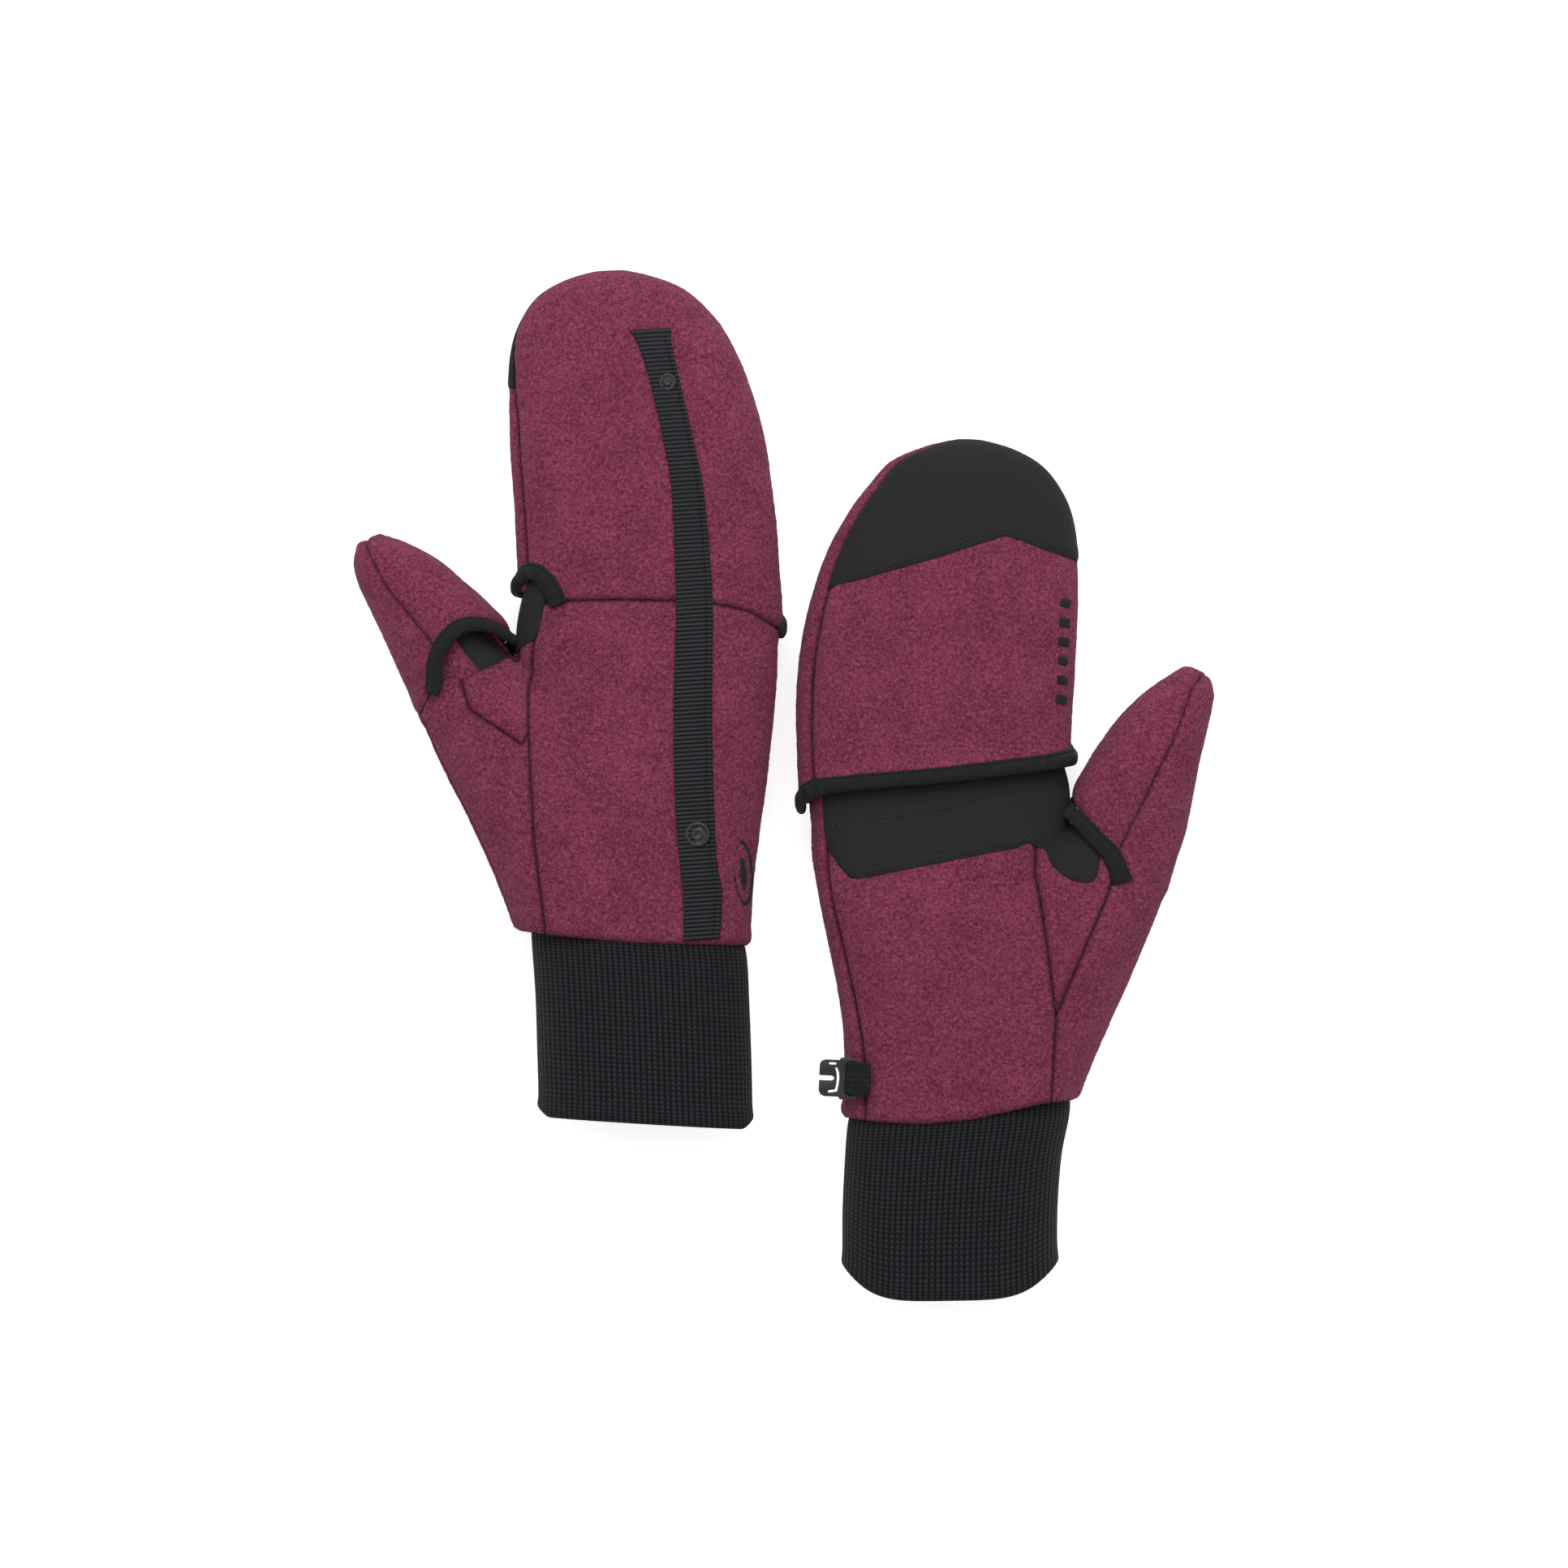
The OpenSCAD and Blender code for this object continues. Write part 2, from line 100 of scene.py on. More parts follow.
areaLight("keyLight", (0.0, 1.1, 1.3), 1.0, 20)
areaLight("fillLight", (-1.0, 0.4, 1.4), 1.0, 6)
areaLight("sideLight", (1.0, 0.4, 1.4), 1.0, 6)
world = bpy.data.worlds.new("studio")
world.use_nodes = True
world.node_tree.nodes["Background"].inputs["Color"].default_value = (1, 1, 1, 1)
world.node_tree.nodes["Background"].inputs["Strength"].default_value = 0.62
scene.world = world
scene.view_settings.view_transform = "Standard"


def shader(name, colour, roughness):
    mat = bpy.data.materials.new(name)
    mat.use_nodes = True
    bsdf = mat.node_tree.nodes["Principled BSDF"]
    bsdf.inputs["Base Color"].default_value = (*colour, 1)
    bsdf.inputs["Roughness"].default_value = roughness
    bsdf.inputs["Specular IOR Level"].default_value = 0.08
    return mat, mat.node_tree, bsdf


def node(tree, kind, **values):
    made = tree.nodes.new("ShaderNode" + kind)
    for key, value in values.items():
        if key[0].isupper():
            made.inputs[key].default_value = value
        else:
            setattr(made, key, value)
    return made


def coords(tree, kind="Object"):
    return node(tree, "TexCoord").outputs[kind]


def mixColour(tree, factor, dark, light):
    mix = node(tree, "Mix", data_type="RGBA")
    tree.links.new(factor, mix.inputs["Factor"])
    mix.inputs[6].default_value = (*dark, 1)   # colour sockets of the mix
    mix.inputs[7].default_value = (*light, 1)
    return mix.outputs[2]


def bumped(tree, bsdf, heights):
    normal = None
    for height, distance, strength in heights:
        bump = node(tree, "Bump", Distance=distance, Strength=strength)
        tree.links.new(height, bump.inputs["Height"])
        if normal:
            tree.links.new(normal, bump.inputs["Normal"])
        normal = bump.outputs["Normal"]
    tree.links.new(normal, bsdf.inputs["Normal"])


def combined(tree, operation, a, b):
    made = node(tree, "Math", operation=operation)
    for index, value in enumerate((a, b)):
        if isinstance(value, (int, float)):
            made.inputs[index].default_value = value
        else:
            tree.links.new(value, made.inputs[index])
    return made.outputs["Value"]


def fleeceMaterial(name, dark, light):
    mat, tree, bsdf = shader(name, light, 0.95)
    at = coords(tree)
    pile = node(tree, "TexNoise", Scale=1000.0, Detail=3.5, Roughness=0.68, Distortion=0.7)
    clumps = node(tree, "TexVoronoi", feature="SMOOTH_F1", Scale=900.0, Smoothness=0.5, Randomness=1.0)
    broad = node(tree, "TexNoise", Scale=70.0, Detail=2.0)
    for made in (pile, clumps, broad):
        tree.links.new(at, made.inputs["Vector"])
    # pits between the tufts are painted darker than the tufts, as painted shade in the recesses of the bump;
    # the broad noise adds a random tone over larger patches
    level = combined(tree, "ADD", combined(tree, "MULTIPLY", pile.outputs["Fac"], 0.86),
                     combined(tree, "MULTIPLY", broad.outputs["Fac"], 0.14))
    level = combined(tree, "SUBTRACT", level, combined(tree, "MULTIPLY", clumps.outputs["Distance"], 0.1))
    ramp = node(tree, "ValToRGB")
    for element, place, colour in zip(ramp.color_ramp.elements, (0.34, 0.58), (dark, light)):
        element.position = place
        element.color = (*colour, 1)
    tree.links.new(level, ramp.inputs["Fac"])
    # painted shade: the seam attribute darkens the fleece colour in the seam grooves, where shade falls
    tuck = node(tree, "Attribute", attribute_name="tuck")
    paintedSeamShadeMix = node(tree, "Mix", data_type="RGBA", blend_type="MULTIPLY")
    tree.links.new(combined(tree, "MULTIPLY", tuck.outputs["Fac"], 0.75), paintedSeamShadeMix.inputs["Factor"])
    tree.links.new(ramp.outputs["Color"], paintedSeamShadeMix.inputs[6])
    paintedSeamShadeMix.inputs[7].default_value = (0.16, 0.1, 0.14, 1)
    tree.links.new(paintedSeamShadeMix.outputs[2], bsdf.inputs["Base Color"])
    bsdf.inputs["Sheen Weight"].default_value = 0.06
    bsdf.inputs["Sheen Roughness"].default_value = 0.45
    bsdf.inputs["Sheen Tint"].default_value = (1.0, 0.62, 0.78, 1)
    bumped(tree, bsdf, [(clumps.outputs["Distance"], 0.0006, 0.3), (pile.outputs["Fac"], 0.0012, 0.9)])
    return mat


def suedeMaterial(name):
    mat, tree, bsdf = shader(name, (0.017, 0.0165, 0.017), 0.9)
    at = coords(tree)
    grain = node(tree, "TexNoise", Scale=2600.0, Detail=3.0, Roughness=0.7)
    tree.links.new(at, grain.inputs["Vector"])
    colour = mixColour(tree, grain.outputs["Fac"], (0.009, 0.0088, 0.009), (0.023, 0.0225, 0.0225))
    tree.links.new(colour, bsdf.inputs["Base Color"])
    bsdf.inputs["Sheen Weight"].default_value = 0.02
    bsdf.inputs["Sheen Roughness"].default_value = 0.5
    bumped(tree, bsdf, [(grain.outputs["Fac"], 0.0002, 0.35)])
    return mat


def wave(tree, at, axis, pitch, profile="SIN", phase=0.0):
    # a band texture repeats every 2 pi / 20 of its coordinate at scale 1
    made = node(tree, "TexWave", wave_type="BANDS", bands_direction=axis, wave_profile=profile,
                Scale=math.pi / 10 / pitch, Distortion=0.0)
    made.inputs["Phase Offset"].default_value = phase
    tree.links.new(at, made.inputs["Vector"])
    return made.outputs["Fac"]


def tapeMaterial(name, pitch, across, dark, light):
    # UV runs in millimetres along (x) and across (y) the tape
    mat, tree, bsdf = shader(name, light, 0.75)
    at = coords(tree, "UV")
    ribs = wave(tree, at, "X", pitch)
    yarns = wave(tree, at, "Y", across)
    between = combined(tree, "ADD", combined(tree, "MULTIPLY", yarns, 0.5), 0.5)
    woven = combined(tree, "MULTIPLY", ribs, between)
    fuzz = node(tree, "TexNoise", Scale=3.0, Detail=3.0)
    tree.links.new(at, fuzz.inputs["Vector"])
    level = combined(tree, "MULTIPLY", woven, combined(tree, "ADD", fuzz.outputs["Fac"], 0.4))
    # painted light: the rib crests take the lighter colour as a painted highlight and the grooves between
    # them the dark colour as painted shade; the fuzz noise adds a random tone
    tree.links.new(mixColour(tree, level, dark, light), bsdf.inputs["Base Color"])
    bumped(tree, bsdf, [(woven, 0.00025, 0.9)])
    bsdf.inputs["Sheen Weight"].default_value = 0.03
    return mat


def knitMaterial(name, wale, course):
    # UV runs in millimetres along (x) and round (y) the cuff: each wale is a column of V stitches
    mat, tree, bsdf = shader(name, (0.013, 0.013, 0.016), 0.85)
    at = coords(tree, "UV")
    split = node(tree, "SeparateXYZ")
    tree.links.new(at, split.inputs["Vector"])
    turn = combined(tree, "MULTIPLY", split.outputs["Y"], math.pi / wale)
    ridge = combined(tree, "ABSOLUTE", combined(tree, "COSINE", turn, 0.0), 0.0)
    climb = combined(tree, "ADD", combined(tree, "MULTIPLY", split.outputs["X"], 2 * math.pi / course),
                     combined(tree, "MULTIPLY", ridge, 2.2))
    loops = combined(tree, "ADD", combined(tree, "MULTIPLY", combined(tree, "SINE", climb, 0.0), 0.5), 0.5)
    standing = combined(tree, "ADD", combined(tree, "MULTIPLY", loops, 0.7), 0.3)
    height = combined(tree, "MULTIPLY", ridge, standing)
    # painted light: the colour follows the knit's relief, near black in the furrows between the wales as
    # painted shade and lighter on the ridges as painted highlight
    colour = mixColour(tree, height, (0.0015, 0.0015, 0.002), (0.024, 0.024, 0.029))
    tree.links.new(colour, bsdf.inputs["Base Color"])
    bumped(tree, bsdf, [(height, 0.0004, 0.9)])
    bsdf.inputs["Sheen Weight"].default_value = 0.04
    return mat


def plasticMaterial(name):
    mat, tree, bsdf = shader(name, (0.012, 0.0125, 0.014), 0.42)
    at = coords(tree)
    skin = node(tree, "TexNoise", Scale=1500.0, Detail=2.0)
    tree.links.new(at, skin.inputs["Vector"])
    gloss = node(tree, "MapRange")
    gloss.inputs["To Min"].default_value = 0.34
    gloss.inputs["To Max"].default_value = 0.52
    tree.links.new(skin.outputs["Fac"], gloss.inputs["Value"])
    tree.links.new(gloss.outputs["Result"], bsdf.inputs["Roughness"])
    bsdf.inputs["Specular IOR Level"].default_value = 0.35
    bumped(tree, bsdf, [(skin.outputs["Fac"], 0.00008, 0.3)])
    return mat


weave = {"rib": 1.38, "yarn": 0.8}      # woven tape, mm
knit = {"wale": 1.4, "course": 1.3}     # rib cuff, mm

finish = {
    "fleece": fleeceMaterial("burgundyFleece", (0.094, 0.014, 0.034), (0.232, 0.047, 0.096)),
    "suede": suedeMaterial("blackSuede"),
    "tape": tapeMaterial("wovenTape", weave["rib"], weave["yarn"], (0.002, 0.0022, 0.0025),
                         (0.044, 0.046, 0.052)),
    "binding": tapeMaterial("grosgrainBinding", 0.62, 0.5, (0.003, 0.0032, 0.0035), (0.028, 0.03, 0.033)),
    "rib_knit": knitMaterial("ribKnit", knit["wale"], knit["course"]),
    "lining": fleeceMaterial("blackLining", (0.006, 0.006, 0.007), (0.018, 0.018, 0.02)),
    "snap_plastic": plasticMaterial("mouldedPlastic"),
    "thread": tapeMaterial("blackThread", 0.35, 0.3, (0.022, 0.022, 0.024), (0.085, 0.086, 0.092)),
}

# A row runs from the tip to the wrist:
# [thumb side x, y, little finger side x, y, lowest z, highest z]
rows = {
    "down": {
        "hood": [[-22, 113.8, -13, 113.8, 13, 19], [-32, 111.4, -4, 111.4, 10, 24],
                 [-41.5, 106.4, 7.2, 106.4, 6.5, 27.5], [-47.8, 98, 15.8, 98, 3.5, 30.5],
                 [-51.2, 88, 21.8, 88, 1.5, 32.5], [-53, 74, 26.8, 74, 0.4, 34.5],
                 [-53.8, 58, 30.5, 58, 0, 36], [-53.8, 40, 32.3, 40, 0, 36.8],
                 [-54, 20, 33, 20, 0, 37], [-55, 0, 33, 0, 0, 37], [-55, -14, 32, -14, 0, 37]],
        "hand": [[-49, 18, 28.3, 18, 9, 36.6], [-54, 2, 31.4, 2, 6, 37],
                 [-55.8, -10, 30.8, -12, 4, 37], [-55.6, -26, 29.6, -26, 1.6, 37],
                 [-55, -40, 27.4, -40, 0, 37], [-57, -58, 24.3, -58, 0, 37],
                 [-58.5, -75, 20.8, -75, 0, 36.9], [-60, -92, 17.5, -92, -0.4, 36.8],
                 [-61, -116, 14.6, -116, -0.8, 36.8]],
        "base": [[-95, 5, -78, 14, 8, 29], [-93, -12, -66, 0, 4.5, 32], [-90.4, -28, -57.5, -12, 3, 34.4],
                 [-87.6, -35, -50, -20, 1.2, 36], [-82.8, -48, -38, -36, 0, 36.8],
                 [-75.5, -65, -30, -55, 0, 36.8], [-68, -85, -22, -78, -0.4, 36.8],
                 [-61.8, -106, -18, -112, -0.8, 36.8]],
        "bridge": [[-62, -28, 22, -28, 5, 34], [-74, -37, 26, -37, 1.4, 36.6], [-81, -48, 26, -48, 0, 37],
                   [-74.6, -66, 22.4, -64, 0, 37], [-67, -86, 18, -82, -0.2, 37],
                   [-61.4, -108, 15, -114, -0.6, 36.9], [-60.6, -122, 14, -126, -0.8, 36.8]],
        "thumb": [[-106.5, 29, -99, 31.6, 13, 21], [-108.3, 23, -90, 28, 9, 26],
                  [-107.5, 16, -80.5, 22, 5, 30], [-104.8, 9, -73, 15, 2.5, 32.5],
                  [-101, -0.5, -65.5, 7.5, 0.8, 34.5], [-97, -11, -59, -0.5, 0.2, 35.6],
                  [-92.7, -23, -55.5, -9, -0.2, 36], [-87.3, -37, -48, -20, -0.2, 36.4]],
        "cuff": [[-57.4, -96, 11.4, -104, 1.4, 35], [-57.6, -108, 13.4, -116.5, 0.4, 35.6],
                 [-57.6, -125, 13.2, -134, -0.4, 36], [-58.3, -145, 12.6, -154, -0.8, 36],
                 [-58.9, -164, 11.7, -173, -0.8, 36]],
    },
    "up": {
        "hood": [[-23, 114.4, -12, 114.4, 18, 24], [-33.5, 111.6, -3.5, 111.6, 13, 27],
                 [-43, 106.4, 7.6, 106.4, 9, 30], [-49.8, 98, 14.8, 98, 6, 32],
                 [-53.8, 88, 21.5, 88, 3.5, 33.5], [-56, 74, 28, 74, 1.5, 35],
                 [-56.8, 58, 32.5, 58, 0.5, 36.3], [-56.7, 40, 35.2, 40, 0, 36.8],
                 [-56.4, 20, 35.4, 20, 0, 37], [-56.8, 0, 33.8, 0, 0, 37], [-56.8, -14, 32, -14, 0, 37]],
        "hand": [[-50, 18, 28.8, 18, 9, 36.6], [-55.8, 2, 30.4, 2, 5, 37],
                 [-56.6, -10, 29, -12, 3.6, 37], [-56.4, -26, 28, -26, 1.8, 37],
                 [-56, -40, 25, -40, 0, 37], [-57.5, -58, 20.5, -58, 0, 37],
                 [-59, -75, 16.5, -75, 0, 36.9], [-60.5, -92, 14.4, -92, 0.4, 37],
                 [-62, -116, 14.6, -116, 0.8, 37.6]],
        "base": [[-97, 5, -79, 14, 12, 33], [-93, -12, -67, 0, 7, 34.4], [-91.4, -28, -58, -12, 4.6, 35.4],
                 [-89.2, -35, -50, -20, 2.4, 36.8], [-84.6, -48, -38, -36, 0.4, 37.2],
                 [-78, -65.5, -30, -55, 0, 37.2], [-70, -85, -22, -78, 0.4, 37.4],
                 [-62.5, -106, -18, -112, 0.8, 37.6]],
        "bridge": [[-62, -28, 20, -28, 5, 34], [-74, -37, 24, -37, 1.8, 36.6],
                   [-82.6, -48, 23, -48, 0.2, 37], [-76.6, -66, 18, -64, 0.2, 37],
                   [-68.6, -86, 14.6, -82, 0.2, 37], [-62, -108, 14.4, -112, 0.8, 37.4],
                   [-61, -122, 14.2, -124, 0.8, 37.6]],
        "thumb": [[-101.5, 40, -93.5, 43, 18, 26], [-103.2, 34, -84.5, 37, 13, 30],
                  [-102.3, 26.5, -77, 30.5, 9, 34], [-100.8, 18, -70, 22, 6, 36.5],
                  [-99, 8, -63.5, 11.5, 4, 37.8], [-97.2, -5, -58.5, 1.5, 3, 38],
                  [-94.5, -18, -56, -8, 3, 38], [-88.5, -37, -49, -20, 2.6, 38]],
        "cuff": [[-61, -96, 10.6, -104, 3.2, 36], [-61.4, -108, 12.2, -115.5, 2.4, 37.4],
                 [-59.4, -124, 12.6, -131, 2, 38.2], [-58.8, -145, 12.6, -151, 2.6, 38.6],
                 [-59.4, -167.6, 11.8, -171.8, 3, 38.6]],
    },
}

# Lines across a mitten run from the thumb side to the little finger side.
sharedLines = {
    "hinge": [[-90, 7], [-42, 5.1], [-20, 4], [-1.6, 2.4], [10.5, 0.8], [22, -2.5], [32, -8.8], [60, -20]],
    "handSeam": [[-46, 10], [-47.4, 3], [-48.6, -2.5], [-50, -6.6], [-51.2, -12], [-52, -20], [-53.2, -34],
                 [-53.8, -46], [-54.2, -75], [-52.8, -103], [-52.4, -125]],
    "capHemBack": [[-140, -29.5], [-90, -29.5], [-86.2, -24], [-84.9, -17], [-84.2, -12.4], [-82.2, -7.6],
                   [-78.8, -3.2], [-73.8, 0.2], [-66.8, 1.2], [-61, 0], [-57.4, -3], [-50, -10]],
    "baseRim": [[-140, -32], [-93, -30.8], [-89.5, -28.4], [-87, -23.4], [-83.6, -19.4], [-79.4, -17.2],
                [-74, -18.2], [-68.6, -16], [-62, -13.6], [-57.6, -11], [-55.6, -8.4], [-50, -6]],
}
lines = {
    "down": {
        **sharedLines,
        "cuffHem": [[-110, -99], [-62.8, -103.4], [-24, -109.5], [15, -113.2], [60, -117]],
        "capSeamBack": [[-107, 35], [-98, 14], [-83.4, -6.4], [-72, -26]],
        "capSeamPalm": [[-104, 34], [-92, 12], [-78, -18.8], [-70, -40]],
    },
    "up": {
        **sharedLines,
        "cuffHem": [[-110, -99.4], [-63.1, -103.3], [-52, -104.4], [-41.8, -107.2], [-28, -110.8],
                    [-13.5, -112.8], [0, -113], [11.7, -112.2], [60, -108]],
        "capSeamBack": [[-103, 46], [-95, 14], [-83.4, -6.4], [-72, -26]],
        "capSeamPalm": [[-99, 46], [-91, 20], [-73.7, -18.8], [-68, -40]],
    },
}
hoodHem = [[-90, 10], [-57, 9.4], [-30, 5.6], [-11, 2.4], [29, -2.6], [33, -7.6], [60, -12]]
capHemPalm = [[-140, -24], [-92.4, -29], [-79.1, -33], [-75.6, -27], [-72, -20.4], [-65, -13], [-57, -4],
              [-48, -1]]
palmSeam = [[-46, 20], [-46.3, -28], [-55, -75], [-55, -125]]
gussetBack = [[-42, 16], [-44, -2.5], [-47, -12], [-51, -34], [-55.9, -41.6], [-72.7, -28.8],
              [-75.2, -17.8], [-74, 14]]
gussetPalm = [[-46, 20], [-46.3, -28], [-55, -75], [-70.1, -35.2], [-74, -20], [-74, 20]]
palmPatch = [[25, 9.5], [25.7, -8.2], [23.6, -20], [21.6, -25], [19.6, -29], [16.2, -31.6], [11.8, -32.4],
             [-12.4, -26.6], [-40.5, -20], [-47.4, -19.9], [-49.6, -23.4], [-55.2, -28.5], [-60, -30.4],
             [-63.7, -30.6], [-66, -29.3], [-67, -26], [-67, -20], [-63.6, -8], [-57, 4], [-49, 9.5]]
crotchPatch = [[-42, 14], [-46.2, 2], [-47.6, -3.6], [-49.8, -7], [-54, -9.8], [-56.6, -10.6], [-57.6, -8],
               [-57.6, 14]]
tipEdge = [[-90, 74], [-55.9, 75.6], [-31.2, 82.9], [-8.1, 74.3], [24.7, 63.5], [60, 60]]

# how the cloth is rounded, walled, tucked into its seams and napped
cloth = {"round": 2.4, "voxel": 0.9, "wall": 2.0, "seamDepth": 1.2, "seamWidth": 0.85, "puff": 0.35,
         "coarse": 0.22, "fine": 0.15}


def eased(values):
    return np.sign(values) * np.abs(values) ** (2 / cloth["round"])


def alongRows(table, u):
    # smooth curve through the rows, u counted in rows
    table = np.asarray(table, float)
    last = len(table) - 1
    i = np.clip(np.floor(u).astype(int), 0, last - 1)
    t = (u - i)[:, None]
    a, b = table[np.maximum(i - 1, 0)], table[i]
    c, d = table[i + 1], table[np.minimum(i + 2, last)]
    return 0.5 * (2 * b + (c - a) * t + (2 * a - 5 * b + 4 * c - d) * t**2 + (3 * b - a - 3 * c + d) * t**3)


def onForm(table, u, v, grow=0.0):
    row = alongRows(table, u)
    across, up = eased(np.cos(v)), eased(np.sin(v))
    middle = (row[:, 0:2] + row[:, 2:4]) / 2
    half = (row[:, 2:4] - row[:, 0:2]) / 2
    half = half * (1 + grow / np.hypot(half[:, 0], half[:, 1]))[:, None]
    plan = middle + half * across[:, None]
    z = (row[:, 4] + row[:, 5]) / 2 + ((row[:, 5] - row[:, 4]) / 2 + grow) * up
    return np.column_stack([plan, z])


def getCo(mesh):
    flat = np.empty(len(mesh.vertices) * 3)
    mesh.vertices.foreach_get("co", flat)
    return flat.reshape(-1, 3)


def setCo(mesh, co):
    mesh.vertices.foreach_set("co", np.ascontiguousarray(co, float).ravel())
    mesh.update()


def getNormals(mesh):
    flat = np.empty(len(mesh.vertices) * 3)
    mesh.vertex_normals.foreach_get("vector", flat)
    return flat.reshape(-1, 3)


def toMesh(bm, name):
    mesh = bpy.data.meshes.new(name)
    bm.to_mesh(mesh)
    bm.free()
    return mesh


def mappedGrid(name, stepsU, stepsV, place, size, closed=False, capped=False):
    # a flat grid bent into place, with its UV map in millimetres
    bm = bmesh.new()
    bmesh.ops.create_grid(bm, x_segments=stepsU, y_segments=stepsV, size=0.5)
    layer = bm.loops.layers.uv.new("weave")
    for face in bm.faces:
        for loop in face.loops:
            loop[layer].uv = ((loop.vert.co.x + 0.5) * size[0], (loop.vert.co.y + 0.5) * size[1])
    at = np.array([vert.co[:] for vert in bm.verts]) + 0.5
    for vert, co in zip(bm.verts, place(at[:, 0], at[:, 1])):
        vert.co = co
    if closed:
        bmesh.ops.remove_doubles(bm, verts=bm.verts, dist=0.0005)
    if capped:
        bmesh.ops.holes_fill(bm, edges=[edge for edge in bm.edges if edge.is_boundary], sides=0)
    bmesh.ops.recalc_face_normals(bm, faces=bm.faces)
    return toMesh(bm, name)


def applied(mesh, *steps):
    work = bpy.data.objects.new("work", mesh)
    scene.collection.objects.link(work)
    for kind, values in steps:
        modifier = work.modifiers.new(kind.lower(), kind)
        for key, value in values.items():
            setattr(modifier, key, value)
    result = bpy.data.meshes.new_from_object(work.evaluated_get(bpy.context.evaluated_depsgraph_get()))
    bpy.data.objects.remove(work)
    return result


def formMesh(name, table):
    last = len(table) - 1
    return mappedGrid(name, 10 * last, 96, lambda u, v: onForm(table, u * last, v * 2 * math.pi),
                      (1, 1), closed=True, capped=True)


def skin(name, tables, smoothing):
    # one even closed mesh round all the forms
    bm = bmesh.new()
    for table in tables:
        bm.from_mesh(formMesh("form", table))
    return applied(toMesh(bm, name), ("REMESH", {"mode": "VOXEL", "voxel_size": cloth["voxel"]}),
                   ("SMOOTH", {"factor": 0.5, "iterations": smoothing}))


def lineDistance(points, co):
    # distance in plan, positive on the left of the line's direction
    pts = np.asarray(points, float)
    best = np.full(len(co), 1e9)
    signed = np.zeros(len(co))
    off = np.zeros(len(co))
    for a, b in zip(pts[:-1], pts[1:]):
        step = b - a
        rel = co[:, :2] - a
        t = np.clip(rel @ step / (step @ step), 0, 1)
        away = rel - t[:, None] * step
        dist = np.hypot(away[:, 0], away[:, 1])
        perp = (step[0] * rel[:, 1] - step[1] * rel[:, 0]) / np.hypot(*step)
        use = (dist < best - 1e-6) | ((dist < best + 1e-6) & (np.abs(perp) > off))
        signed = np.where(use, np.where(perp >= 0, dist, -dist), signed)
        off = np.where(use, np.abs(perp), off)
        best = np.minimum(dist, best)
    return signed


def beyond(line):
    # positive on the finger tips' side of a line across the mitten, or right of one that runs to the wrist
    return lambda co: lineDistance(line, co)


def region(outline):
    closed = np.asarray(outline + outline[:1], float)

    def inside(co):
        odd = np.zeros(len(co), bool)
        for a, b in zip(closed[:-1], closed[1:]):
            spans = (a[1] > co[:, 1]) != (b[1] > co[:, 1])
            rise = b[1] - a[1] if b[1] != a[1] else 1.0
            odd ^= spans & (co[:, 0] < (b[0] - a[0]) * (co[:, 1] - a[1]) / rise + a[0])
        dist = np.abs(lineDistance(closed, co))
        return np.where(odd, dist, -dist)
    return inside


def above(slope):
    # over the hand's side seam, which falls from the thumb side to the little finger
    def height(co):
        edge = np.interp(co[:, 1], [-116, -90, -60, -30, 0], [13, 15, 21, 28, 31])
        level = np.interp(co[:, 1], [-100, -30], [4.6, 8])
        return (co[:, 2] - level + slope * (co[:, 0] - edge)) / math.hypot(1, slope)
    return height


def hoodSide(side):
    # over the hood's side seam: high on the thumb side, low on the little finger side
    table = np.asarray(rows[side]["hood"], float)[::-1]
    ys = np.maximum.accumulate(table[:, 1])

    def height(co):
        at = [np.interp(co[:, 1], ys, table[:, i]) for i in (0, 2, 4, 5)]
        share = np.clip((co[:, 0] - at[0]) / (at[1] - at[0]), 0, 1)
        thumb = np.interp(co[:, 1], [0, 66, 84, 100], [0.76, 0.74, 0.66, 0.5])
        level = at[2] + (at[3] - at[2]) * (thumb + (0.2 - thumb) * share)
        return (co[:, 2] - level) * 0.97
    return height


def smoothRegion(outline):
    return region(resampled(outline + outline[:1], 1.5)[0][:-1].tolist())


def both(*parts):
    return lambda co: np.min([part(co) for part in parts], axis=0)


def either(*parts):
    return lambda co: np.max([part(co) for part in parts], axis=0)


def outside(part):
    return lambda co: -part(co)


def sides(back, palm, middle=18.5, soft=5.0):
    # one cut line over the back, another over the palm, joined round the edges
    def mixed(co):
        t = np.clip((co[:, 2] - middle) / (2 * soft) + 0.5, 0, 1)
        return back(co) * t + palm(co) * (1 - t)
    return mixed


def zAbove(level):
    return lambda co: co[:, 2] - level


def trimmed(name, source, inside):
    # keeps what is inside and cuts the faces exactly along the line
    bm = bmesh.new()
    bm.from_mesh(source)
    cut = bm.verts.layers.float.new("cut")
    signed = inside(getCo(source))
    signed[np.abs(signed) < 0.1 * cloth["voxel"]] = 0
    for vert, value in zip(bm.verts, signed):
        vert[cut] = value
    onLine = [vert for vert in bm.verts if vert[cut] == 0]
    for edge in [e for e in bm.edges if e.verts[0][cut] * e.verts[1][cut] < 0]:
        a, b = edge.verts
        share = a[cut] / (a[cut] - b[cut])
        vert = bmesh.utils.edge_split(edge, a, share)[1]
        vert[cut] = 0
        onLine.append(vert)
    bmesh.ops.connect_verts(bm, verts=onLine)
    bmesh.ops.delete(bm, geom=[vert for vert in bm.verts if vert[cut] < 0], context="VERTS")
    bmesh.ops.delete(bm, geom=[vert for vert in bm.verts if not vert.link_faces], context="VERTS")
    bm.verts.layers.float.remove(cut)
    return toMesh(bm, name)


